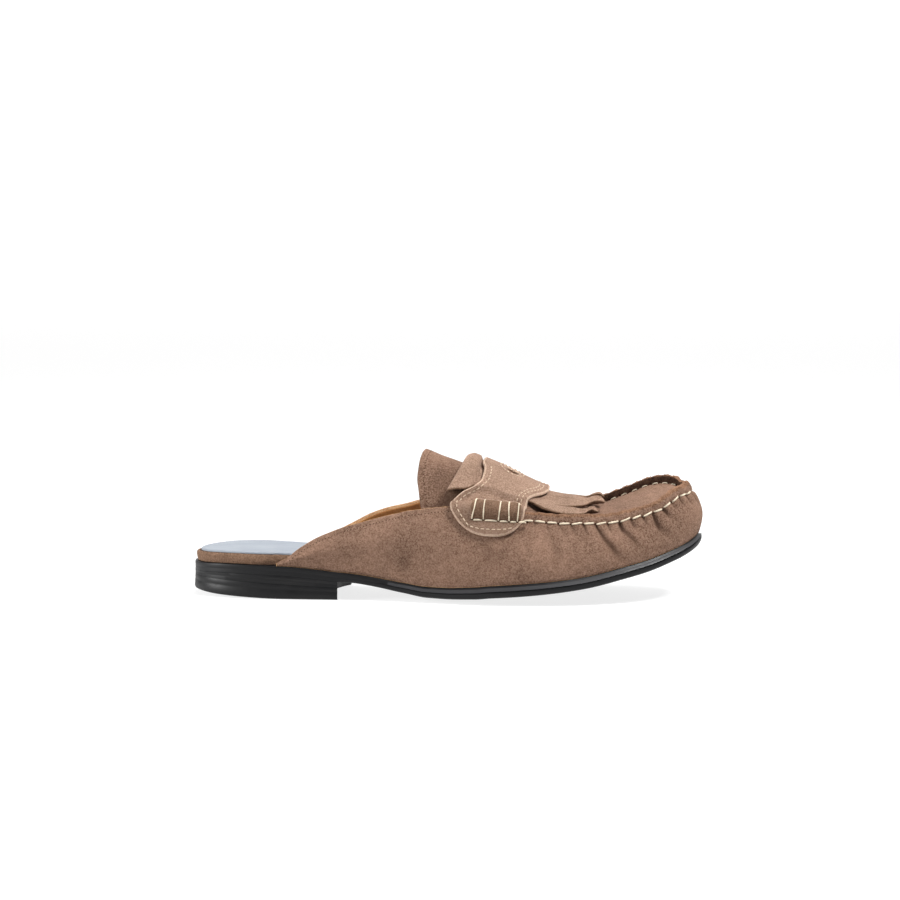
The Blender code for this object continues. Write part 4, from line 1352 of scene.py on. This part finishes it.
def makeKiltie():
    edges = [-1.0] + list(kiltieLook["fingerEdges"]) + [1.0]
    spots, slits = [], []
    for left, right in zip(edges, edges[1:]):
        low = left + (kiltieLook["slitWidth"] / 2 if left > -1.0 else 0.0)
        high = right - (kiltieLook["slitWidth"] / 2 if right < 1.0 else 0.0)
        if spots:
            slits.append(len(spots) - 1)
        spots += list(np.linspace(low, high, int(round((high - low) / 0.025)) + 1))
    spots = np.array(spots)
    top, low, line = bandProfile(46, 90)
    # each finger narrows, rounds off and lifts its corners towards its tip
    lefts, rights = np.array(edges[:-1]), np.array(edges[1:])
    middles, halves = (lefts + rights) / 2, (rights - lefts) / 2
    finger = np.clip(np.searchsorted(edges, spots, side="right") - 1, 0, 4)
    inFinger = (spots - middles[finger]) / halves[finger]
    place = line[:, 0] / shoe["length"]
    sheets = []
    for profile in (top, low):
        share = profile[:, 0] / shoe["length"]
        width = smooth(bandWidthTable, 1, share)
        slant = kiltieLook["rollSlant"] * np.clip((0.570 - share) / kiltieLook["rollLength"], 0.0, 1.0)
        run = ease((place - kiltieLook["slitStart"]) / kiltieLook["fingerLength"])[:, None]
        tip = np.clip((place - kiltieLook["tipPlace"]) / kiltieLook["tipLength"], 0.0, 1.0)[:, None]
        rounding = (1 - np.sqrt(1 - 0.96 * inFinger ** 2))[None, :] * kiltieLook["tipRound"]
        reach = np.array(kiltieLook["fingerReach"])[finger][None, :]
        along = share[:, None] + slant[:, None] * (1 - spots ** 2)[None, :] - rounding * tip + reach * tip
        narrow = middles[finger] + (spots - middles[finger]) * (1 - kiltieLook["fingerNarrowing"] * run)
        curl = np.array(kiltieLook["fingerCurl"])[finger][None, :]
        lift = profile[:, 1][:, None] + run ** 2 * (curl + kiltieLook["edgeLift"] * (inFinger ** 2)[None, :])
        lift = lift + 0.0004 * run * wander(line[:, 0], 0.021, 3)[:, None]
        # the outer edge of the fringe stands off in front of the saddle
        away = (place - kiltieLook["gapPlace"]) / kiltieLook["gapLength"]
        outer = ease((-spots - 0.60) / 0.38)[None, :]
        lift = lift + kiltieLook["gapLift"] * np.exp(-away ** 2)[:, None] * outer
        sheets.append(instep.at(width[:, None] * narrow, along, lift))
    keep = np.ones((len(line) - 1, len(spots) - 1), dtype=bool)
    forward = (np.arange(len(line)) > 46) & (line[:, 0] > kiltieLook["slitStart"] * shoe["length"])
    for column in slits:
        keep[forward[:-1], column] = False
    points, faces, slots = shellParts(sheets[0], sheets[1], keep, 0.8)
    points, faces, _ = dropLoose(points, faces, {})
    return addMesh("kiltie", points, tidyFaces(faces), slots, [topSuede, rollSuede, rollSuede], weld=None)


place(makeKiltie(), "suede", "kiltie")
print("kiltie made")


studioLook = {
    "ambient": 0.16,
    "groundSize": 12.0,
    "floorGlow": 0.80,
    "backdropPlace": (0.0, 5.9, 5.8),
    "backdropGlow": 1.0,
    "aim": (0.08, 0.0, 0.03),
    # name, place, size, power
    "lamps": (
        ("key", (0.78, -0.34, 1.15), 0.40, 28.0),
        ("left", (-1.32, -0.56, 0.46), 0.6, 27.0),
        ("back", (0.05, 0.55, 1.25), 0.6, 8.0),
    ),
}


def glowing(name, level, colour):
    s = Shader(name)
    s.set({"Base Color": colour, "Roughness": 0.9,
           "Emission Color": (1.0, 1.0, 1.0), "Emission Strength": level})
    return s.material


def studio():
    # bright floor and backdrop with a dimmer room, and three soft lamps
    look = studioLook
    bpy.ops.mesh.primitive_plane_add(size=look["groundSize"], location=(0.0, 0.0, -0.0002))
    ground = bpy.context.object
    ground.name = "floor"
    ground.data.materials.append(glowing("floor_white", look["floorGlow"], (0.22, 0.22, 0.22)))
    bpy.ops.mesh.primitive_plane_add(size=look["groundSize"], location=look["backdropPlace"],
                                     rotation=(math.pi / 2, 0.0, 0.0))
    wall = bpy.context.object
    wall.name = "backdrop"
    wall.data.materials.append(glowing("backdrop_white", look["backdropGlow"], (0.6, 0.6, 0.6)))
    world = bpy.data.worlds.new("studio")
    bpy.context.scene.world = world
    world.use_nodes = True
    world.node_tree.nodes["Background"].inputs["Color"].default_value = (1.0, 1.0, 1.0, 1.0)
    world.node_tree.nodes["Background"].inputs["Strength"].default_value = look["ambient"]
    for name, spot, size, power in look["lamps"]:
        light = bpy.data.lights.new(name, "AREA")
        light.shape = "DISK"
        light.size = size
        light.energy = power
        lamp = bpy.data.objects.new(name, light)
        bpy.context.scene.collection.objects.link(lamp)
        lamp.location = spot
        aim = Vector(look["aim"]) - Vector(spot)
        lamp.rotation_euler = aim.to_track_quat("-Z", "Y").to_euler()


cameraLook = {
    "azimuth": 5.0,
    "elevation": 5.0,
    "distance": 1.5,
    "target": (0.08587, 0.0, 0.08261),
    "lens": 104.70,
    "sensor": 36.0,
}


def makeCamera():
    look = cameraLook
    azimuth, elevation = math.radians(look["azimuth"]), math.radians(look["elevation"])
    away = Vector((math.sin(azimuth) * math.cos(elevation), -math.cos(azimuth) * math.cos(elevation),
                   math.sin(elevation)))
    data = bpy.data.cameras.new("camera")
    data.lens = look["lens"]
    data.sensor_width = look["sensor"]
    camera = bpy.data.objects.new("camera", data)
    bpy.context.scene.collection.objects.link(camera)
    camera.location = Vector(look["target"]) + away * look["distance"]
    camera.rotation_euler = (-away).to_track_quat("-Z", "Y").to_euler()
    bpy.context.scene.camera = camera


threadLook = {
    "stitchLength": 0.0056,
    "stitchRadius": 0.00056,
    "fineLength": 0.0021,
    "finePitch": 0.0031,
    "fineRadius": 0.00028,
    "holeRadius": 0.00034,
    "toplineRow": 0.0028,
    "toplinePitch": 0.0019,
    "tonguePitch": 0.045,
    "tongueRow": 0.0030,
    "seamHole": 0.00060,
    "innerStart": 0.712,
    "innerLength": 0.0034,
    "rollHole": 0.00062,
    "frontHole": 0.6655,
    "wrapLeans": (0.0075, 0.0015, 0.0030, -0.0015, 0.0020),
    "wrapRadius": 0.00034,
    "rowInset": 0.0028,
    "cutoutMargin": 0.0018,
}


def tubes(paths, sides=8):
    # closed round cords, each from its middle points and radii
    points, faces = [], []
    for middle, radii in paths:
        middle = np.array(middle)
        along = unit(np.gradient(middle, axis=0))
        helper = np.array((0.0, 0.0, 1.0)) if abs(along[0, 2]) < 0.9 else np.array((1.0, 0.0, 0.0))
        first = unit(np.cross(along, helper))
        second = np.cross(along, first)
        turns = (np.arange(sides) / sides * 2 * math.pi)[None, :, None]
        around = np.cos(turns) * first[:, None] + np.sin(turns) * second[:, None]
        rings = middle[:, None] + np.array(radii)[:, None, None] * around
        low = sum(len(block) for block in points)
        points.append(rings.reshape(-1, 3))
        for r in range(len(middle) - 1):
            for k in range(sides):
                j = (k + 1) % sides
                faces.append([low + r * sides + k, low + r * sides + j,
                              low + (r + 1) * sides + j, low + (r + 1) * sides + k])
        faces.append([low + k for k in range(sides)])
        faces.append([low + (len(middle) - 1) * sides + k for k in reversed(range(sides))])
    return np.concatenate(points), faces


def addTubes(name, paths, surface, sides=8):
    points, faces = tubes(paths, sides)
    return place(addMesh(name, points, faces, np.zeros(len(faces)), [surface], weld=None))


def stitchPath(ends, radius, lift, steps=7):
    # thread between two holes: it dips at both ends and stands over the surface between them
    (start, startNormal), (stop, stopNormal) = ends
    path, radii = [], []
    for part in np.linspace(0.0, 1.0, steps):
        rise = lift * (1 - (2 * part - 1) ** 4) - radius * 0.9 * (2 * part - 1) ** 6
        normal = startNormal * (1 - part) + stopNormal * part
        path.append(start * (1 - part) + stop * part + normal * rise)
        radii.append(radius * (0.72 + 0.28 * math.sin(part * math.pi)))
    return path, radii


def holePath(point, normal, radius):
    # dark plug whose end shows as a needle hole, painted shade for the hole's inside
    return [point + normal * rise for rise in (-0.0004, 0.00003, 0.00006)], [radius, radius, radius * 0.4]


def instepNormal(across, along):
    return unit(instep.at(across, along, 0.001) - instep.at(across, along, 0.0))


def fineRow(places):
    # ends of evenly spaced short stitches along a line of (across, along) places over the saddle
    pitch, length = threadLook["finePitch"], threadLook["fineLength"]
    line = np.array(places)
    across, along = readRows(np.linspace(0, len(line) - 1, 400), np.arange(len(line)), line).T
    heights = saddleTop(across, along)
    points = instep.at(across, along, heights)
    normals = unit(instep.at(across, along, heights + 0.001) - points)
    arcs = runLength(points)
    return [[(readRows(arc, arcs, points), unit(readRows(arc, arcs, normals)))
             for arc in (middle - length / 2, middle + length / 2)]
            for middle in np.arange(pitch / 2, arcs[-1], pitch)]


def saddleTop(across, along):
    return saddleLift(across, along) + shoe["saddleThickness"]


def makeHandStitches():
    look = threadLook
    rng = np.random.default_rng(4)
    pitch = upperLook["gatherPitch"]
    near, far, holes = [], [], []
    for side in (0, 1):
        skin = wallSkin[side]
        drop = shoe["seamHeight"] - 0.0003
        stop = skin["arcs"][-1] - 0.003
        for spot in np.arange(skin["begin"] + pitch, stop, pitch):
            point, normal = wallAt(side, spot, drop + 0.0004)
            holes.append(holePath(point, normal, look["seamHole"]))
        for spot in np.arange(skin["begin"] + 0.5 * pitch, stop, pitch):
            half = look["stitchLength"] / 2 * rng.uniform(0.90, 1.08)
            slant = rng.uniform(-0.0004, 0.0004) + 0.0003
            ends = (wallAt(side, spot - half, drop + slant), wallAt(side, spot + half, drop - slant))
            near.append(stitchPath(ends, look["stitchRadius"], 0.0009))
    addTubes("hand_stitches", near, creamThread)
    addTubes("seam_holes", holes, holeDark)
    for side in (0, 1):
        # where the same thread shows at the inner foot of the seam
        skin = wallSkin[side]
        start = np.interp(look["innerStart"] * shoe["length"], skin["x"], skin["arcs"])
        half = look["innerLength"] / 2
        for spot in np.arange(start, skin["arcs"][-1] - 0.006, pitch):
            ends = [(readRows(arc, skin["arcs"], innerFeet[side]), np.array((0.0, 0.0, 1.0)))
                    for arc in (spot - half, spot + half)]
            far.append(stitchPath(ends, look["stitchRadius"] * 0.62, 0.00015))
    addTubes("inner_stitches", far, creamThread)


def makeRollThreads():
    # cream threads wrapped over the rolled edge, the stitches and holes under it and a pale cord along its
    # top as a painted highlight
    look = threadLook
    wraps, holes, highlightCord, under = [], [], [], []
    middle, spread = saddleLook["rollPlace"], saddleLook["rollSpread"]
    leans = look["wrapLeans"]
    foot = middle + spread * 1.12
    for sign in (-1, 1):
        feet = [wrap - lean / 2 for wrap, lean in zip(saddleLook["wraps"], leans)]
        for wrap, lean in zip(saddleLook["wraps"], leans):
            path, radii = [], []
            for part in np.linspace(0.0, 1.0, 15):
                across = middle - spread * 0.98 + spread * 2.06 * part
                along = wrap + lean * (0.5 - part)
                height = saddleTop(across, along) + rollHeight(across, along) + 0.00022
                path.append(instep.at(sign * across, along, height))
                radii.append(look["wrapRadius"] + 0.00008 * math.sin(part * 9.0 + wrap * 90.0))
            wraps.append((path, radii))
        for share in feet + [look["frontHole"]]:
            point = instep.at(sign * foot, share, saddleTop(foot, share))
            holes.append(holePath(point, instepNormal(sign * foot, share), look["rollHole"]))
        for start, stop in zip(feet, feet[1:] + [look["frontHole"]]):
            ends = []
            for share in (start + 0.0028, stop - 0.0022):
                point = instep.at(sign * (foot + 0.006), share, saddleTop(foot, share))
                ends.append((point, instepNormal(sign * foot, share)))
            under.append(stitchPath(ends, 0.00050, 0.0005))
        # painted highlight: a pale cord along the top edge of the roll
        along = np.linspace(saddleLook["rollEnds"][0] + 0.006, saddleLook["rollEnds"][1] - 0.006, 60)
        top = middle - spread * 0.93
        heights = saddleTop(top, along) + rollHeight(top, along) + 0.0002
        highlightCord.append((instep.at(sign * top, along, heights), np.full(60, 0.00055)))
    addTubes("roll_threads", wraps + under, creamThread)
    addTubes("roll_holes", holes, holeDark)
    addTubes("roll_highlight_cord", highlightCord, paleEdge)


def makeSaddleStitches():
    look = threadLook
    rows, rings = [], []
    inset = look["rowInset"] / shoe["length"]
    for sign in (-1, 1):
        # one row inside the back edge and round the tab
        back = [(sign * spot, smooth(saddleTable, 1, spot) + inset) for spot in np.linspace(0.30, 1.25, 50)]
        quarter = np.linspace(0.0, math.pi / 2, 20)[1:]
        tip, tabEnd = 0.596, 0.642
        depth = tip - smooth(saddleTable, 1, 1.25) - inset
        turn = [(sign * (1.25 + 0.085 * math.sin(part)), tip - depth * math.cos(part)) for part in quarter]
        front = [(sign * (1.335 - 0.055 * (1 - math.cos(part))), tip + (tabEnd - tip) * math.sin(part))
                 for part in quarter]
        for pair in fineRow(back + turn + front):
            rows.append(stitchPath(pair, look["fineRadius"] * 1.1, 0.00012, 5))
        # two rows inside the front edge
        for row in (1.0, 2.0):
            edge = [(sign * spot, smooth(saddleTable, 2, spot) - inset * row * 0.85)
                    for spot in np.linspace(0.10, 0.96, 60)]
            for pair in fineRow(edge):
                rows.append(stitchPath(pair, look["fineRadius"], 0.0001, 5))
    # round the cut-out
    middle = saddleLook["cutoutPlace"]
    length = saddleLook["cutoutLength"] / 2 + look["cutoutMargin"]
    wide = saddleLook["cutoutWidth"] / 2 + look["cutoutMargin"]
    ring = [(wide * math.cos(turn) / saddleLook["placeWidth"],
             middle + length * math.sin(turn) / shoe["length"]) for turn in np.linspace(0.0, 2 * math.pi, 61)]
    for pair in fineRow(ring):
        rings.append(stitchPath(pair, look["fineRadius"] * 1.2, 0.00014, 5))
    addTubes("saddle_stitches", rows, beigeThread, 6)
    addTubes("cutout_stitches", rings, beigeThread, 6)


def makeNeedleHoles():
    look = threadLook
    holes = []
    for side in (0, 1):
        skin = wallSkin[side]
        stop = np.interp(0.535 * shoe["length"], skin["x"], skin["arcs"])
        for arc in np.arange(0.004, stop, look["toplinePitch"]):
            height = np.interp(arc, skin["arcs"], skin["below"][:, -1])
            if height > 0.006:
                point, normal = wallAt(side, arc, look["toplineRow"])
                holes.append(holePath(point, normal, look["holeRadius"]))
    top = -(shoe["wall"] + tongueLook["clearance"])
    for across in np.arange(-1.0, 1.001, look["tonguePitch"]):
        along = smooth(tongueTable, 1, abs(across)) + look["tongueRow"] / shoe["length"]
        point = instep.at(across, along, top)
        holes.append(holePath(point, instepNormal(across, along), look["holeRadius"]))
    addTubes("needle_holes", holes, holeDark, 6)


makeHandStitches()
makeRollThreads()
makeSaddleStitches()
makeNeedleHoles()
print("threads and needle holes made")

studio()
makeCamera()
bpy.context.scene.view_settings.view_transform = "Standard"
print("light and camera set")
